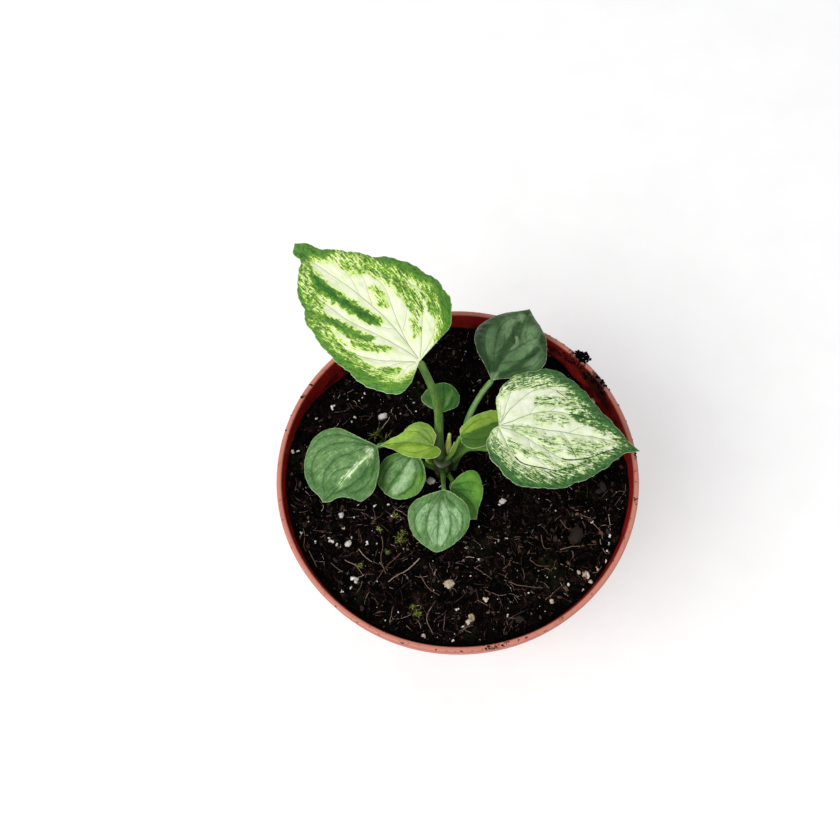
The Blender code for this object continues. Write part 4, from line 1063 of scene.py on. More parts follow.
def cut_drains(pot):
    """Cuts the holes through the pot's floor and the slots under its standing ring."""
    tools = bpy.data.collections.new("pot_tools")
    drill = ((0, -1), (DRAIN_HOLE_RADIUS, -1), (DRAIN_HOLE_RADIUS, FLOOR + 1), (0, FLOOR + 1))
    for index in range(DRAIN_HOLES):
        centre = polar(DRAIN_CIRCLE, math.tau * (index + 0.5) / DRAIN_HOLES)
        tools.objects.link(turned("drill", drill, 32, pot.data.materials[0], centre))
    for index in range(DRAIN_SLOTS):
        block = bmesh.new()
        bmesh.ops.create_cube(block, size=1)
        size = Vector((FOOT_WIDTH + 4, DRAIN_SLOT_WIDTH, 2 * DRAIN_RECESS - 0.02))
        bmesh.ops.scale(block, vec=size * MM, verts=block.verts)
        bmesh.ops.translate(block, vec=Vector((BASE_RADIUS - FOOT_WIDTH / 2, 0, 0)) * MM, verts=block.verts)
        turn = Matrix.Rotation(math.tau * index / DRAIN_SLOTS, 3, "Z")
        bmesh.ops.rotate(block, cent=(0, 0, 0), matrix=turn, verts=block.verts)
        mesh = bpy.data.meshes.new("slot")
        block.to_mesh(mesh)
        block.free()
        tools.objects.link(bpy.data.objects.new("slot", mesh))
    step = pot.modifiers.new("drains", "BOOLEAN")
    step.operand_type = "COLLECTION"
    step.collection = tools
    step.solver = "EXACT"
    pot.data = bpy.data.meshes.new_from_object(pot.evaluated_get(bpy.context.evaluated_depsgraph_get()))
    pot.modifiers.clear()
    shape = bmesh.new()
    shape.from_mesh(pot.data)
    bmesh.ops.remove_doubles(shape, verts=shape.verts, dist=2e-6)
    bmesh.ops.dissolve_degenerate(shape, edges=shape.edges, dist=2e-6)
    shape.to_mesh(pot.data)
    shape.free()
    for tool in list(tools.objects):
        bpy.data.objects.remove(tool)
    bpy.data.collections.remove(tools)


def mark_pot(mesh):
    """Keeps at each point of the pot whether it is inside, and how dirty it is."""
    place = np.array([v.co for v in mesh.vertices]) / MM
    height = place[:, 2]
    out = np.hypot(place[:, 0], place[:, 1])
    inside = (out < [inner_radius(z) + 0.35 for z in height]) & (height > FLOOR - 0.1)
    around = np.degrees(np.arctan2(place[:, 1], place[:, 0]))
    dirt = np.zeros(len(place))
    for compass, wide, level, tall, strength in SMEARS:
        off = (around - compass + 180) % 360 - 180
        dirt += strength * np.exp(-((off / wide) ** 2) - ((height - level) / tall) ** 2)
    dirt *= (out > BASE_RADIUS - 1.5) & (inside | (height > POT_HEIGHT - 1.5))
    keep_values(mesh, {"inside": inside, "dirt": dirt})


def add_pot():
    def bend(compass, height):
        """A rim that isn't quite round."""
        ovals = 1 + math.sin(3 * compass + 0.7) * 0.6 + 0.4 * math.sin(7 * compass)
        return -0.09 * (height / POT_HEIGHT) * ovals

    pot = turned("pot_shell", pot_profile(), POT_SIDES, pot_finish(), bend=bend)
    cut_drains(pot)
    mark_pot(pot.data)
    pot.data.shade_smooth()
    pot.data.set_sharp_from_angle(angle=math.radians(32))
    dress(pot, "pot", "pot")


# Potting mix


def soil_height(x, y):
    """Height of the mix in the solids."""
    compass = math.degrees(math.atan2(y, x))
    depth = EDGE_DEPTH
    for middle, spread, extra in EDGE_HOLLOWS:
        off = (compass - middle + 180) % 360 - 180
        depth += extra * math.exp(-((off / spread) ** 2))
    lumps = (
        math.sin(0.31 * x + 0.9) * math.cos(0.27 * y - 0.4)
        + 0.6 * math.sin(0.53 * y + 0.35 * x + 2.0)
        + 0.4 * math.cos(0.71 * x - 0.48 * y)
    )
    level = SOIL_LEVEL + SOIL_LUMP * lumps
    near_wall = min(max((math.hypot(x, y) - (inner_radius(SOIL_LEVEL) - EDGE_SLOPE)) / EDGE_SLOPE, 0), 1)
    near_wall = near_wall * near_wall * (3 - 2 * near_wall)
    return level + (POT_HEIGHT - depth - level) * near_wall


def crumbly_height(x, y):
    """Height of the mix with its clods, crumbs and pits."""
    clods = noise.fractal(Vector((x * 0.22, y * 0.22, 3.1)), 0.9, 2.1, 3)
    crumbs = noise.fractal(Vector((x * 0.8, y * 0.8, 7.7)), 0.8, 2.0, 3)
    grit = noise.noise(Vector((x * 2.6, y * 2.6, 1.3)))
    return soil_height(x, y) + 0.85 * clods + 0.6 * crumbs + 0.2 * grit


def soil_finish():
    """Nearly black mix, painted paler on its high crumbs and darker in its pits as painted light and shade,
    with a trace of green and of pale dust.
    """
    s = Shader("potting_mix_finish", 0.97, 0.04)
    where = s.place()
    bits = s.noise(where, 1300, 4, 0.75)
    # painted light and shade: the mix is paler where it rises over its surface and darker in its pits
    high = s.value("rise") * 0.32 + s.noise(where, 260, 6, 0.7) * 0.9
    colour = s.ramp(high, ((0.25, (0, 0, 0)), (0.44, (2, 1, 1)), (0.58, (6, 4, 3)), (0.74, (23, 14, 12)),
                           (0.98, (54, 36, 29))))
    colour = s.mix(s.range(bits, 0.58, 0.74, 0, 0.8), colour, (76, 46, 38))
    colour = s.mix(s.range(s.noise(where, 75, 3), 0.56, 0.7, 0, 0.35), colour, (30, 36, 18))
    colour = s.mix(s.range(s.cells(where, 900), 0.1, 0.03, 0, 0.8), colour, (126, 100, 88))
    grain = s.noise(where, 1500, 5, 0.75) + s.cells(where, 1100)
    return s.finish(colour, s.range(bits, 0.4, 0.6, 0.75, 0.98), grain, 0.5, 0.9)


def soil_profile(compass):
    """Half the mix's section: floor, wall, and the crumbly top from the wall to the middle."""
    bottom = FLOOR + 0.3
    edge = soil_height(*polar(inner_radius(POT_HEIGHT - EDGE_DEPTH) - 0.3, compass))
    rim = inner_radius(edge - 0.6) - 0.32
    profile = [(0, bottom), (0.96 * (inner_radius(FLOOR) - 0.3), bottom)]
    profile += [(inner_radius(height) - 0.36, height) for height in (30.0, 60.0, edge - 1.6)]
    for ring in range(SOIL_RINGS + 1):
        radius = rim * (1 - ring / SOIL_RINGS) ** 0.92
        profile.append((radius, crumbly_height(*polar(radius, compass))))
    return profile


def add_soil():
    points, faces = revolve([soil_profile(math.tau * side / SOIL_SIDES) for side in range(SOIL_SIDES)])
    rise = [z - soil_height(x, y) if z > 80 else -1.0 for x, y, z in points]
    dress(mesh_object("potting_mix", points, faces, soil_finish(), {"rise": rise}), "soil", "soil")


# Bits on the mix


def round_bits(name, bits, finish, level, rough, seed):
    """Many small lumps in one mesh. Each is place, size (3), compass and tone."""
    chance = np.random.default_rng(seed)
    shape = bmesh.new()
    bmesh.ops.create_icosphere(shape, subdivisions=level, radius=0.5)
    ball = np.array([v.co for v in shape.verts])
    corners = np.array([[v.index for v in f.verts] for f in shape.faces])
    shape.free()
    points, faces, tones = [], [], []
    for place, size, compass, tone in bits:
        lump = ball * (1 + chance.uniform(-rough, rough, (len(ball), 1)))
        if level > 1:
            seat = Vector(chance.uniform(-50, 50, 3))
            swell = np.array([noise.noise(Vector(corner) * 3.2 + seat) for corner in ball])
            lump = lump * (1 + 0.42 * swell[:, None])
        lean = Matrix.Rotation(chance.uniform(-0.4, 0.4), 3, "X")
        turn = Matrix.Rotation(compass, 3, "Z")
        faces.append(corners + len(points) * len(ball))
        points.append(lump * np.array(size) @ np.array(turn @ lean).T + np.array(place))
        tones.append(np.full(len(ball), tone))
    faces = [tuple(int(i) for i in face) for face in np.vstack(faces)]
    values = {"tone": np.concatenate(tones)}
    return mesh_object(name, np.vstack(points), faces, finish, values, smooth=level > 1, weld=False)


def toned_finish(name, stops, rough, scale, bump, specular=0.3, fleck=0.3):
    """A finish whose colour follows each bit's own tone, broken up by fine noise."""
    s = Shader(name, rough, specular)
    where = s.place()
    cloud = s.noise(where, scale, 5, 0.7)
    colour = s.ramp(s.value("tone") + (cloud - 0.5) * fleck, stops)
    roughness = s.range(cloud, 0.3, 0.7, max(rough - 0.12, 0), min(rough + 0.08, 1))
    return s.finish(colour, roughness, cloud + s.cells(where, scale * 1.4), bump, 0.8)


def spots(chance, count, reach, stem_gap, wall_gap):
    """Random places (x, y) on the mix, within reach of the pot's axis and clear of the stem and the wall."""
    for _ in range(count):
        x, y = polar(reach * math.sqrt(chance.uniform()), chance.uniform(0, math.tau))
        if from_stem(x, y) >= stem_gap and math.hypot(x, y) <= inner_radius(soil_height(x, y)) - wall_gap:
            yield x, y


def shaken(chance, place, spread, lift):
    """A place moved a little sideways at random, and lifted."""
    x, y, z = place
    return x + chance.normal(0, spread), y + chance.normal(0, spread), z + lift


def tossed(chance, place, size, tones, turn=6.0):
    """A bit at a random compass and of a random tone."""
    return place, size, chance.uniform(0, turn), chance.uniform(*tones)


def crumbs_on_top(chance):
    for x, y in spots(chance, *CRUMBS):
        size = 0.45 + 1.1 * chance.uniform() ** 3.0
        bright = 0.18 if y < 5 else 0.07
        tone = chance.uniform(0.7, 0.92) if chance.uniform() < bright else chance.uniform(0, 0.7)
        shape = size * chance.uniform((0.8, 0.7, 0.6), (1.5, 1.1, 1.0))
        yield (x, y, crumbly_height(x, y) + 0.2 * size), shape, chance.uniform(0, math.tau), tone


def dirt_on_rim(chance):
    for px, py, size in RIM_DIRT:
        middle = np.array(seen_at((px, py), POT_HEIGHT))
        for _ in range(4):
            x, y = middle + chance.normal(0, 0.28 * size, 2)
            out = min(max(math.hypot(x, y), RIM_RADIUS - LIP_WIDTH + 0.1), RIM_RADIUS - 0.4)
            grain = size * chance.uniform(0.25, 0.6)
            place = (*polar(out, math.atan2(y, x)), POT_HEIGHT + 0.1 * grain)
            yield tossed(chance, place, (grain, grain * 0.8, grain * 0.5), (0.05, 0.5))


def clump_over_rim(chance):
    for px, py, height, size in CLUMP:
        x, y = seen_at((px, py), height)
        reach = min(math.hypot(x, y), RIM_RADIUS + 2.2)
        for out in np.arange(RIM_RADIUS - 0.9, max(reach, RIM_RADIUS - 0.8), 0.9):
            share = out / math.hypot(x, y)
            drop = 0.35 * max(out - RIM_RADIUS, 0)
            for _ in range(4):
                grain = size * chance.uniform(0.5, 0.85)
                shift = chance.normal(0, 0.15 * size, 3)
                place = (share * x + shift[0], share * y + shift[1], height - 0.2 - drop + 0.5 * shift[2])
                yield tossed(chance, place, (grain, grain * 0.9, grain * 0.8), (0.0, 0.5))


def dirt_on_wall(chance):
    for compass, height, size, count in WALL_DIRT:
        for _ in range(count):
            around = math.radians(compass + chance.normal(0, 0.9))
            level = min(height + chance.normal(0, 0.6), POT_HEIGHT + 0.1)
            proud = 0.3 if level > POT_HEIGHT - 0.6 else -0.1
            out = inner_radius(level) + proud + 0.3 * abs(chance.normal(0, 0.3))
            grain = size * chance.uniform(0.3, 0.75)
            yield tossed(chance, (*polar(out, around), level), (grain, grain, grain * 0.8), (0.0, 0.45))


def add_crumbs():
    chance = np.random.default_rng(CRUMB_SEED)
    bits = []
    for kind in (crumbs_on_top, dirt_on_rim, clump_over_rim, dirt_on_wall):
        bits += kind(chance)
    finish = toned_finish("crumb_finish", CRUMB_TONES, 0.95, 1600, 0.25, specular=0.04)
    dress(round_bits("mix_crumbs", bits, finish, level=1, rough=0.35, seed=5), "soil")


def add_lone_bits(solids, ending, finish, slot, seed):
    """Finer lumps in the places of the loose solids."""
    for number, (node, (size, compass, tone)) in enumerate(solids.items()):
        low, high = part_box(node)
        bit = ((low + high) / 2 / MM, size, math.radians(compass), tone)
        lump = round_bits(node + ending, [bit], finish, level=3, rough=0.03, seed=seed + number)
        dress(lump, slot, node)


def add_grains():
    chance = np.random.default_rng(GRAIN_SEED)
    bits = []
    for px, py, size in GRAINS:
        place = seen_on_mix((px, py))
        for _ in range(3):
            shape = 0.62 * size * chance.uniform(0.5, 1.15, 3)
            bits.append(tossed(chance, shaken(chance, place, 0.2 * size, 0.15 * size), shape, (0.35, 1.0)))
    for x, y in spots(chance, *SMALL_GRAINS):
        size = 0.22 + 0.4 * chance.uniform() ** 2
        place = (x, y, crumbly_height(x, y) + 0.3 * size)
        bits.append((place, (size, size, size * 0.8), 0.0, chance.uniform(0.0, 0.75)))
    finish = toned_finish("grain_finish", STONE_TONES, 0.8, 1500, 0.3)
    dress(round_bits("white_grains", bits, finish, level=2, rough=0.09, seed=6), "perlite")
    add_lone_bits(PERLITE, "_grain", finish, "perlite", seed=50)


def add_chips():
    chance = np.random.default_rng(CHIP_SEED)
    finish = toned_finish("bark_finish", BARK_TONES, 0.8, 900, 0.4, fleck=0.5)
    add_lone_bits(BARK_CHIPS, "_flake", finish, "bark", seed=61)
    bits = []
    for px, py, size in PEBBLES:
        place = seen_on_mix((px, py))
        for _ in range(3):
            at = shaken(chance, place, 0.16 * size, 0.1 * size)
            shape = size * np.array([chance.uniform(0.6, 0.95), chance.uniform(0.45, 0.7), 0.36])
            bits.append(tossed(chance, at, shape, (0.74, 0.98), turn=3))
    for pixel in DARK_FLAKES:
        x, y, z = seen_on_mix(pixel)
        bits.append(((x, y, z + 0.3), (3.6, 2.2, 0.7), chance.uniform(0, 3), 0.2))
    for x, y in spots(chance, *SMALL_CHIPS):
        size = chance.uniform(0.9, 2.4)
        place = (x, y, crumbly_height(x, y) + 0.2)
        bits.append(tossed(chance, place, (size, size * 0.5, size * 0.28), (0.05, 0.5), turn=3))
    dress(round_bits("loose_chips", bits, finish, level=2, rough=0.07, seed=8), "bark")


def thread(route, lift, thick, thin, sides, tone):
    """A root or twig that lies along a route (x, y) at the heights in lift, and its tone."""
    return *tube(np.column_stack([route, lift]), np.linspace(thick, thin, len(route)) / 2, sides), tone


def seen_threads():
    """The threads that the photograph shows, kept inside the wall."""
    for tone, thick, *pixels in THREADS:
        route = smooth_path([seen_on_mix(pixel)[:2] for pixel in pixels], 14)
        reach = np.hypot(route[:, 0], route[:, 1])
        route *= (np.minimum(reach, inner_radius(SOIL_LEVEL) - 1.2) / reach)[:, None]
        arch = 0.35 * np.sin(np.linspace(0, math.pi, 14))
        lift = [crumbly_height(x, y) + 0.25 + rise for (x, y), rise in zip(route, arch)]
        yield thread(route, lift, 1.15 * thick, 0.69 * thick, 5, tone)


def small_threads(chance):
    """Fine threads in all directions, most of them in front of the plant."""
    steps = np.linspace(0, 1, 9)
    for x, y in spots(chance, *SMALL_THREADS):
        if y > -8 and chance.uniform() < 0.62:
            continue
        heading, length = chance.uniform(0, math.tau), 0.9 + 6.5 * chance.uniform() ** 2.4
        bend = chance.uniform(-0.9, 0.9)
        turn = heading + bend * steps + chance.uniform(0, 0.3) * np.sin(steps * 8 + heading)
        run = np.cumsum(np.column_stack([np.cos(turn), np.sin(turn)]), 0) * length / 9
        route = run + (x, y)
        reach = max(math.hypot(*place) for place in route)
        if reach > SMALL_THREADS[1] or min(from_stem(*place) for place in route) < 4.5:
            continue
        lift = [crumbly_height(a, b) + chance.uniform(0.02, 0.3) for a, b in route]
        thick = 1.2 * (0.07 + 0.13 * chance.uniform() ** 2.5)
        yield thread(route, lift, thick, 0.5 * thick, 4, 0.1 + 0.8 * chance.uniform() ** 2)


def add_threads():
    """Dead roots and fibres lying on the mix."""
    parts = [*seen_threads(), *small_threads(np.random.default_rng(THREAD_SEED))]
    points, faces, tones = join(parts)
    finish = toned_finish("thread_finish", THREAD_TONES, 0.8, 1200, 0.1, specular=0.15)
    dress(mesh_object("root_threads", points, faces, finish, {"tone": tones}, weld=False), "bark")


def add_moss():
    chance = np.random.default_rng(MOSS_SEED)
    parts = []
    for px, py, spread, height in MOSS:
        middle = np.array(seen_on_mix((px, py))[:2])
        for _ in range(int(90 * spread / height)):
            x, y = middle + chance.normal(0, 0.36 * spread, 2)
            lean, compass = chance.uniform(0.2, 1.5), chance.uniform(0, math.tau)
            tall = height * chance.uniform(0.3, 0.9)
            foot = np.array([x, y, crumbly_height(x, y)])
            way = np.array([*polar(lean, compass), 1.0]) * tall
            path = (foot - (0, 0, 0.15), foot + way * (0.4, 0.4, 0.7), foot + way * (1, 1, 0.95))
            blade = tube(smooth_path(path, 4), np.array([0.1, 0.13, 0.11, 0.03]), 3)
            parts.append((*blade, chance.uniform(0, 1) ** 1.5))
    points, faces, tones = join(parts)
    finish = toned_finish("moss_finish", MOSS_TONES, 0.8, 1400, 0.1, specular=0.1)
    dress(mesh_object("moss_tufts", points, faces, finish, {"tone": tones}, weld=False), "soil")


# Leaf blades


def leaf_axes(leaf):
    heading, pitch = math.radians(leaf.heading), math.radians(leaf.pitch)
    level = np.array([math.cos(heading), math.sin(heading), 0])
    forward = level * math.cos(pitch) + np.array([0, 0, math.sin(pitch)])
    left = np.array([-math.sin(heading), math.cos(heading), 0])
    return forward, left, np.cross(forward, left)


def relief(leaf, u, v):
    """Height of the solid's blade over its plane."""
    half_width = max(abs(point[1]) for point in leaf.left + leaf.right)
    fold = np.hypot(v, CREASE) - CREASE
    bend = (u / leaf.length) ** 2 * np.sign(u)
    return leaf.keel * fold - leaf.dome * (v / half_width) ** 2 - leaf.droop * bend


def margin(leaf, side):
    """Points along one side of the blade, with its scallops, small irregular bays and teeth."""
    outline = smooth_path([(0.0, 0.0), *side, (leaf.length, 0.0)], leaf.rows * 6 + 1)
    step = np.gradient(outline, axis=0)
    outward = np.stack([-step[:, 1], step[:, 0]], 1) / np.linalg.norm(step, axis=1)[:, None]
    number = leaf.heading
    if side is leaf.right:
        outward = -outward
        number += 50.0
    share = np.linspace(0, 1, len(outline))
    fade = np.clip(np.minimum(share, 1 - share) * 8, 0, 1)
    scallop = leaf.lobe_depth * (np.abs(np.sin(math.pi * leaf.lobes * share)) - 0.6) * fade
    bays = [noise.noise(Vector((s * 17, number, 0.5))) + 0.45 * noise.noise(Vector((s * 47, number, 4.5)))
            for s in share]
    wild = 0.34 if leaf.lobes else 0.14
    saw = (share * leaf.lobes * 3.3 + 0.25) % 1.0
    teeth = 0.5 * leaf.lobe_depth * (saw - 0.5) * fade
    return (outline + outward * (scallop + wild * np.array(bays) * fade + teeth)[:, None])[::6]


def marking_score(s, leaf, fine, streak, broad):
    """The marking at each place, broken up by flecks, most of all where it is neither pale nor green."""
    flecks = fine * 0.8 + s.noise(streak, 0.85, 5, 0.64) * 1.6 + broad * 0.7
    flecks = (flecks - 1.55) * (0.9 * leaf.grain)
    marking = s.value("marking")
    middle = 1.0 - s.math("ABSOLUTE", marking * 2.0 - 1.0)
    return marking + flecks * (s.math("MAXIMUM", middle, 0.0) * 0.88 + 0.12)


def netted(s, leaf, colour, net, score, solid, broad):
    """The fine net between the veins, over the blade's colour."""
    if leaf.pale:
        patchy = s.range(score, 0.26, 0.44) * s.range(broad, 0.42, 0.54, 0.15, 1.0)
        return s.mix(s.range(net, 0.07, 0.02, 0, 0.6) * patchy, colour, deepest_tone(leaf))
    return s.mix(s.range(net, 0.05, 0.0, 0, 0.32 * leaf.vein_mix) * solid, colour, leaf.vein_tone)


def veined(s, leaf, colour, line, score, solid, fine):
    """Veins, the shade beside them and dark creases, over the blade's colour."""
    drawn = s.range(line, 0.95, 0.35, 0, leaf.vein_mix)
    if leaf.pale:
        drawn = drawn * s.range(score, 0.45, 0.62, 1.0, 0.55)
    colour = s.mix(drawn, colour, leaf.vein_tone)
    colour = s.mix(s.range(line, 5.0, 0.6, 0, 0.2) * solid, colour, leaf.vein_tone, "MULTIPLY")
    if leaf.creases:
        dark = s.range(s.nearest_line("crease", len(leaf.creases)), 1.0, 0.55)
        colour = s.mix(dark * s.range(fine, 0.34, 0.46, 0.3, 1.0), colour, deepest_tone(leaf))
    return colour


def deepest_tone(leaf):
    return tuple(0.75 * x for x in leaf.tones[-1][1])


def leaf_finish(name, leaf):
    s = Shader(name + "_finish", leaf.rough, 0.3)
    flat, streak, under = s.vector("leaf_place"), s.vector("streak_place"), s.value("under")
    fine, broad = s.noise(flat, 1.25, 5, 0.66), s.noise(streak, 0.35, 3, 0.5)
    score = marking_score(s, leaf, fine, streak, broad)
    solid = s.range(score, 0.4, 0.6, 0.25, 1.0) if leaf.pale else 1.0
    colour = s.ramp(score, leaf.tones)
    shade = tuple(0.8 * x + 30 for x in leaf.tones[-2][1])
    cloudy = s.range(s.noise(flat, 0.28, 3, 0.5), 0.35, 0.7, 0, 0.3) * solid
    colour = s.mix(cloudy, colour, shade, "MULTIPLY")
    if leaf.pale:
        tinge = s.range(s.noise(streak, 0.22, 3, 0.55), 0.44, 0.66, 0, 0.6) * s.range(score, 0.5, 0.3)
        colour = s.mix(tinge, colour, (228, 242, 186), "MULTIPLY")
    wander = s.add("ShaderNodeTexNoise", "Color", Vector=flat, Scale=0.9)
    net = s.cells(s.vectors("ADD", flat, wander), 0.62, "DISTANCE_TO_EDGE")
    line = s.nearest_line("vein", len(leaf.veins))
    colour = netted(s, leaf, colour, net, score, solid, broad)
    colour = veined(s, leaf, colour, line, score, solid, fine)
    rim = s.range(s.value("edge"), 0.26, 0.05) * s.range(broad, 0.4, 0.56, 0.15, 0.65)
    colour = s.mix(rim, colour, (206, 224, 170))
    pores = s.noise(flat, 9.0, 2, 0.5)
    colour = s.mix(s.range(pores, 0.52, 0.72, 0, 0.2), colour, (255, 255, 240), "SOFT_LIGHT")
    colour = s.mix(under * 0.45, colour, (164, 190, 132))
    s.shine_through(colour, 0.14)
    rough = s.range(fine, 0.3, 0.7, leaf.rough - 0.05, leaf.rough + 0.12) + under * 0.4
    height = pores * 0.25 + s.range(net, 0.0, 0.2) * 0.5 + s.range(line, 0.3, 2.4) * 0.9 + fine * 0.8
    return s.finish(colour, rough, height, 0.13, 0.45 if leaf.pale else 0.8)


def blade_grid(leaf):
    """Points of both halves in the blade's plane, how far each is rippled, and the blade's outline."""
    share = np.linspace(0, 1, leaf.rows + 1)
    start = np.maximum(0.0, (share - 0.2) / 0.8) ** 1.25
    middle = np.stack([leaf.length * start, leaf.bow * np.sin(math.pi * start)], 1)
    out = np.linspace(0, 1, leaf.columns + 1) ** 0.9
    ripple = leaf.wave * np.sin(math.tau * leaf.waves * share) * np.sin(math.pi * share)
    near_ends = ease(20 * np.minimum(share, 1 - share))
    edges = margin(leaf, leaf.left), margin(leaf, leaf.right)
    places, ripples = [], []
    for edge, phase in zip(edges, (1.0, 2.2)):
        grid = middle[:, None, :] + (edge - middle)[:, None, :] * out[None, :, None]
        crimp = 0.12 * leaf.wave * np.sin(math.tau * leaf.waves * 4.7 * share + phase) * near_ends
        places.append(grid.reshape(-1, 2))
        ripples.append((ripple[:, None] * out**2 + crimp[:, None] * out**6).ravel())
    return np.vstack(places), np.concatenate(ripples), np.vstack([edges[0], edges[1][::-1]])


def vein_route(vein):
    return smooth_path(vein[1:], 10 * len(vein))


def blade_height(leaf, flat, ripple, edge):
    """Height over the blade's plane, quilted between the veins, and the depth of their grooves."""
    groove = np.zeros(len(flat))
    nearest = np.full(len(flat), FAR)
    for vein in leaf.veins:
        width = vein[0]
        away, along, _ = near_line(flat, vein_route(vein))
        groove = np.maximum(groove, bell(away / (2.2 * width)) * width * (1 - 0.55 * along))
        nearest = np.minimum(nearest, away / (0.5 + 2.5 * width))
    quilt = leaf.quilt * (1 - np.exp(-((nearest / leaf.puff) ** 2) / 1.6)) * ease(edge / 2.5)
    dimple = np.array([noise.noise(Vector((u * 0.45, v * 0.45, leaf.heading))) for u, v in flat])
    height = relief(leaf, flat[:, 0], flat[:, 1]) + ripple + quilt - 0.75 * groove
    return height + 0.5 * leaf.quilt * dimple * ease(edge / 2), groove


def blade_marking(leaf, flat):
    """The marking at each point, from 0 where it is palest to 1 where it is the deepest green."""
    wander = np.array([
        1.5 * noise.noise_vector(Vector((u * 0.42, v * 0.6, 3.0)))
        + 0.9 * noise.noise_vector(Vector((u * 1.3, v * 1.6, 9.0))) for u, v in flat
    ])[:, :2]
    ragged = flat + wander * min(0.8, 0.42 * leaf.grain)
    marking = np.full(len(flat), leaf.ground)
    if leaf.pale:
        inside = depth_inside(ragged, smooth_path(leaf.pale + leaf.pale[:1], 160))
        marking = leaf.ground * (0.5 - 0.5 * np.clip(inside / leaf.pale_soft, -1, 1)) / 0.86
        marking = np.minimum(marking, leaf.ground)
    for score, half, soft, *line in leaf.strokes:
        away, along, _ = near_line(ragged, smooth_path(line, 40))
        ends = np.minimum(1, 0.55 + 3.2 * np.minimum(along, 1 - along))
        marking = marking + (score - marking) * ease(1 - (away - half * ends) / soft)
    return marking


def streak_place(flat):
    """Places in a pattern that runs out from the blade's base, as its veins do."""
    polar_out = np.hypot(flat[:, 0] + 3, flat[:, 1])
    angle = np.arctan2(flat[:, 1], flat[:, 0] + 3)
    return np.stack([polar_out * 0.55, angle * (polar_out + 14) * 1.8, np.zeros(len(flat))], 1)


def blade_faces(rows, columns):
    """Faces of the upper and the lower sheet, each in two halves, and of the band round their edge."""
    size = (rows + 1) * (columns + 1)
    faces = []
    for sheet in range(2):
        for half in range(2):
            for a, b, c, d in grid_quads(rows, columns, (2 * sheet + half) * size):
                faces.append((a, d, c, b) if sheet != half else (b, c, d, a))
    for half in range(2):
        for row in range(rows):
            a = half * size + row * (columns + 1) + columns
            b = a + 2 * size
            quad = (a, a + columns + 1, b + columns + 1, b)
            faces.append(quad if half else quad[::-1])
    return faces


def add_blade(name, leaf):
    flat, ripple, outline = blade_grid(leaf)
    edge = near_line(flat, outline)[0]
    height, groove = blade_height(leaf, flat, ripple, edge)
    thick = BLADE_HALF_THICKNESS * (0.35 + 0.65 * ease(edge / 1.5))
    forward, left, up = leaf_axes(leaf)
    points = []
    for lift in (height + thick, height - thick - 0.9 * groove):
        points.append(leaf.base + flat[:, :1] * forward + flat[:, 1:] * left + lift[:, None] * up)
    sheet = {
        "marking": blade_marking(leaf, flat), "edge": edge, "streak_place": streak_place(flat),
        "leaf_place": np.column_stack([flat, np.full(len(flat), leaf.heading)]),
        **in_threes("vein", [beside_line(flat, vein_route(vein), 1.5 * vein[0]) for vein in leaf.veins]),
        **in_threes("crease", [beside_line(flat, vein_route(vein), 2.5 * vein[0]) for vein in leaf.creases]),
    }
    values = {key: np.concatenate([numbers, numbers]) for key, numbers in sheet.items()}
    values["under"] = np.repeat([0.0, 1.0], len(flat))
    faces = blade_faces(leaf.rows, leaf.columns)
    blade = mesh_object(name + "_surface", np.vstack(points), faces, leaf_finish(name, leaf), values)
    dress(blade, name + "_blade", name + "_blade")


# Stalks, stem and sheaths


def stalk_finish(name, tone):
    s = Shader(name, 0.42)
    where = s.vector("along")
    lines = s.streaks(where, (3.0, 0.25, 1.0), 4, 0.6)
    pale = tuple(min(255, x * 1.22 + 8) for x in tone)
    deep = tuple(x * 0.72 for x in tone)
    colour = s.ramp(lines, ((0.32, deep), (0.5, tone), (0.7, pale)))
    colour = s.mix(s.range(s.noise(where, 0.7, 3, 0.5), 0.4, 0.7, 0, 0.3), colour, pale)
    # painted shade: each stalk darkens towards its foot, where the crown shades it
    colour = s.mix(s.range(s.value("foot"), 0.0, 0.9, 0.0, 0.85), colour, (30, 40, 18))
    s.shine_through(colour, 0.06)
    grain = lines + s.noise(where, 6.0, 2) * 0.4
    return s.finish(colour, s.range(lines, 0.3, 0.7, 0.36, 0.5), grain, 0.08, 0.6)


def add_stalk(name, path, radii, tone, node):
    """A leaf stalk out of the stem, with ribs, a groove along its upper side and a thicker foot."""
    share = np.linspace(0, 1, STALK_ROWS)
    radius = radii[0] + (radii[1] - radii[0]) * share
    radius = radius * (1 + 0.28 * np.exp(-share / 0.07)) * (1 + 0.16 * np.exp(-(1 - share) / 0.04))
    radius[-2:] *= (0.92, 0.6)
    angle = np.linspace(0, math.tau, STALK_SIDES, endpoint=False)
    groove = 1 - 0.16 * bell((angle - math.pi / 2) / 0.5)
    ribs = 1 + 0.018 * np.cos(7 * angle)
    points, faces = tube(smooth_path(path, STALK_ROWS), np.outer(radius, groove * ribs), STALK_SIDES)
    run = np.linalg.norm(np.array(path[-1]) - np.array(path[0])) * share
    along = [np.tile(angle * 1.2, STALK_ROWS), np.repeat(run, STALK_SIDES), np.full(len(points), len(name))]
    # foot: how near each point is to the stalk's foot, for the painted shade there
    values = {"along": np.stack(along, 1), "foot": np.repeat(np.exp(-share / 0.2), STALK_SIDES)}
    dress(mesh_object(name, points, faces, stalk_finish(name + "_finish", tone), values), node, node)


def reach_in(leaf):
    """The stalk's route, carried on into the stem and into the blade."""
    path = [np.array(point) for point in leaf.stalk]
    first, last = path[0], path[-1]
    core = np.array([STEM_X, STEM_Y, min(first[2] - 1.0, STEM_TOP - 1.0)])
    path[0] = first + (core - first) * min(1.0, 1.6 / np.linalg.norm(core - first))
    way = last - path[-2]
    path[-1] = last + way / np.linalg.norm(way) * 0.45
    return path


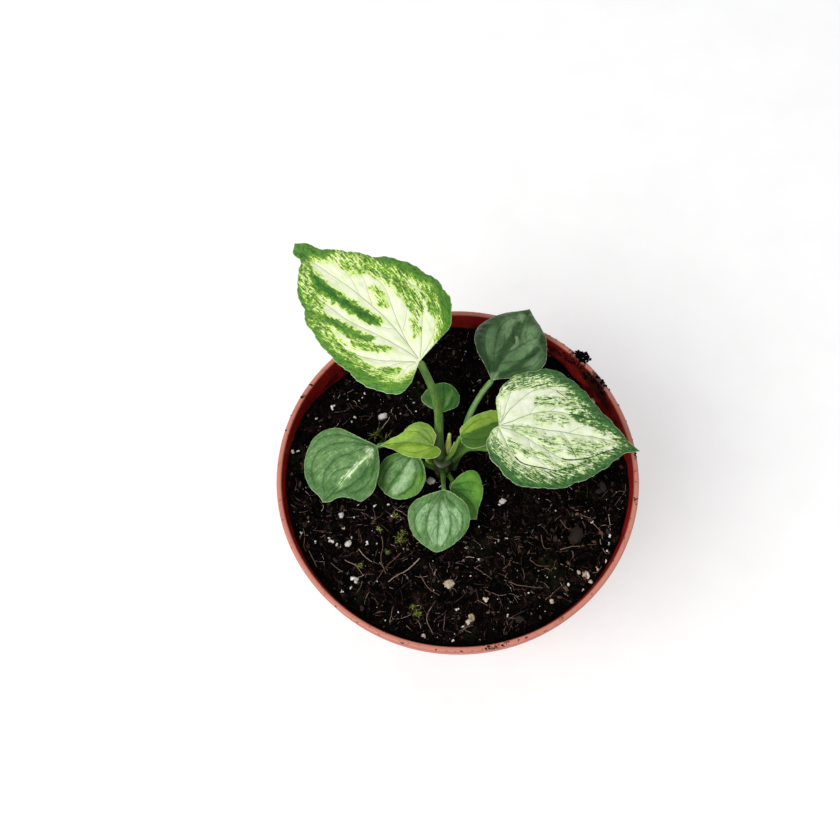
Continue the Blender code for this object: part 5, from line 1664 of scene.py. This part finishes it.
def stem_finish():
    s = Shader("stem_finish", 0.5)
    where, height = s.place(), s.height()
    lines = s.streaks(where, (900, 900, 180), 5, 0.65)
    spots = s.noise(where, 700, 3)
    colour = s.ramp(lines, ((0.3, (18, 26, 10)), (0.5, (32, 46, 18)), (0.7, (54, 72, 28))))
    colour = s.mix(s.range(spots, 0.54, 0.68, 0, 0.6), colour, (84, 66, 38))
    colour = s.mix(s.range(height, 91.5, 87.5, 0, 0.75), colour, (58, 40, 26))
    colour = s.mix(s.range(height, 98.3, 99.2, 0, 0.3), colour, (64, 76, 34))
    return s.finish(colour, s.range(spots, 0.4, 0.6, 0.42, 0.62), lines + spots * 0.5, 0.2, 0.8)


def add_stump(finish):
    """The crown, with the rings that old leaves left."""
    profile = [(0, 66.0), (1.8, 66.4), (2.8, 70.0), (3.1, 80.0), (3.3, 87.0)]
    for height in np.arange(88.0, 98.9, 0.45):
        ring = 0.24 * bell((height - 91.4) / 0.5) + 0.26 * bell((height - 95.8) / 0.45)
        profile.append((3.2 + ring, float(height)))
    profile += [(3.1, 98.9), (2.8, 99.12), (1.6, STEM_TOP), (0.9, 98.9), (0, 98.8)]

    def bend(compass, height):
        return (0.14 * math.sin(2 * compass + 0.5 + 0.12 * height)
                + 0.08 * math.sin(5 * compass + 0.3 * height))

    stump = turned("stump", profile, 40, finish, (STEM_X, STEM_Y), bend)
    dress(stump, "stem_and_roots", "stem_and_roots")


def add_roots(finish):
    chance = np.random.default_rng(ROOT_SEED)
    parts = []
    for index in range(ROOTS):
        compass = math.tau * (index + chance.uniform(-0.2, 0.2)) / ROOTS
        way = np.array(polar(1, compass))
        start = 69.0 + 1.6 * index
        reach, drop = chance.uniform(20, 27), chance.uniform(18, 30)
        bow = np.array([-way[1], way[0]]) * chance.uniform(-4, 4)
        foot = np.array([STEM_X, STEM_Y])
        route = [(*(foot + way), start), (*(foot + 8 * way), start - 0.15 * drop),
                 (*(foot + 0.65 * reach * way + bow), start - 0.5 * drop),
                 (*(foot + reach * way), start - drop)]
        parts.append((*tube(smooth_path(route, 16), np.linspace(0.9, 0.45, 16), 8), 0))
    points, faces, _ = join(parts)
    dress(mesh_object("roots", points, faces, finish, weld=False), "stem_and_roots")


def add_sheath(name, path, widths, across, tone, slot):
    """A thin curled strip of old sheath along a path. across is the direction of its width."""
    rows, columns = SHEATH_ROWS, SHEATH_COLUMNS
    route = smooth_path(path, rows)
    width = np.interp(np.linspace(0, 1, rows), np.linspace(0, 1, len(widths)), widths)
    across = np.array(across, float) / np.linalg.norm(across)
    ahead = np.gradient(route, axis=0)
    ahead /= np.linalg.norm(ahead, axis=1)[:, None]
    face = np.cross(ahead, across)
    points, faces = [], []
    for level in (0.5, -0.5):
        for row in range(rows):
            for column in range(columns + 1):
                off = column / columns - 0.5
                roll = SHEATH_CURL * width[row] * (4 * off * off) + 0.08 * math.sin(row * 1.1 + column)
                lift = roll + level * SHEATH_THICKNESS
                points.append(route[row] + across * off * width[row] + face[row] * lift)
    count = rows * (columns + 1)
    for sheet in range(2):
        for quad in grid_quads(rows - 1, columns, sheet * count):
            faces.append(quad if sheet else quad[::-1])
    grid = np.arange(count).reshape(rows, columns + 1)
    border = np.concatenate([grid[0], grid[1:, -1], grid[-1, -2::-1], grid[-2:0:-1, 0]]).tolist()
    for a, b in zip(border, border[1:] + border[:1]):
        faces.append((a, b, b + count, a + count))
    shades = ((0.2, 0.6), (0.5, 1.0), (0.9, 1.3))
    stops = [(position, tuple(min(255, x * shade) for x in tone)) for position, shade in shades]
    finish = toned_finish(name + "_finish", stops, 0.5, 900, 0.1)
    dress(mesh_object(name, points, faces, finish, {"tone": np.full(len(points), 0.5)}), slot)


def add_plant():
    for name, leaf in LEAVES.items():
        add_blade(name, leaf)
        add_stalk(name + "_petiole", reach_in(leaf), leaf.stalk_radii, leaf.stalk_tone, name + "_stalk")
    finish = stem_finish()
    add_stump(finish)
    add_roots(finish)
    add_stalk("rolled_leaf", SHOOT, (1.35, 0.5), (172, 190, 92), "new_shoot")
    for sheath in SHEATHS:
        add_sheath(*sheath)


# Stage


def add_stage():
    """White ground that glows a little from within, with the glow painted dark under the pot as a painted
    shadow, one lamp and a white sky.
    """
    s = Shader("stage_paper", 0.9, 0.1)
    where = s.place()
    paper = s.noise(where, 40, 4)
    s.plug(s.ramp(paper, ((0.3, (208, 208, 208)), (0.7, (212, 212, 212)))), s.surface.inputs["Base Color"])
    glow = s.ramp(paper, ((0.3, (250, 252, 253)), (0.7, (252, 254, 255))))
    out = s.vectors("LENGTH", where, output="Value")
    # painted shadow: the floor's glow is painted dark under the pot
    painted_shade_under_pot = s.range(out, (BASE_RADIUS + 1) * MM, (BASE_RADIUS - 4) * MM)
    s.plug(s.mix(painted_shade_under_pot, glow, (40, 40, 40)), s.surface.inputs["Emission Color"])
    s.surface.inputs["Emission Strength"].default_value = FLOOR_GLOW
    far = FLOOR_HALF_SIZE
    corners = [(-far, -far, 0), (far, -far, 0), (far, far, 0), (-far, far, 0)]
    floor = mesh_object("stage_floor", corners, [(0, 1, 2, 3)], s.material, weld=False)
    world = bpy.data.worlds.new("studio")
    bpy.context.scene.world = world
    world.use_nodes = True
    sky = world.node_tree.nodes["Background"].inputs
    sky["Color"].default_value = (1.0, 1.0, 1.0, 1.0)
    sky["Strength"].default_value = SKY_STRENGTH
    light = bpy.data.lights.new("key_light", "AREA")
    light.shape = "DISK"
    light.size = KEY_SIZE
    light.energy = KEY_POWER
    light.color = KEY_TINT
    lamp = bpy.data.objects.new("key_light", light)
    lamp.location = KEY_PLACE
    lamp.rotation_euler = (Vector(KEY_AIM) - Vector(KEY_PLACE)).to_track_quat("-Z", "Y").to_euler()
    bpy.context.scene.collection.objects.link(lamp)
    view = bpy.context.scene.view_settings
    view.view_transform = "Standard"
    view.look = "None"
    view.exposure = 0.0


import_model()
noise.seed_set(NOISE_SEED)  # without it, the noise's vectors would differ from run to run
add_camera()
add_stage()
add_pot()
add_soil()
add_crumbs()
add_grains()
add_chips()
add_threads()
add_moss()
add_plant()
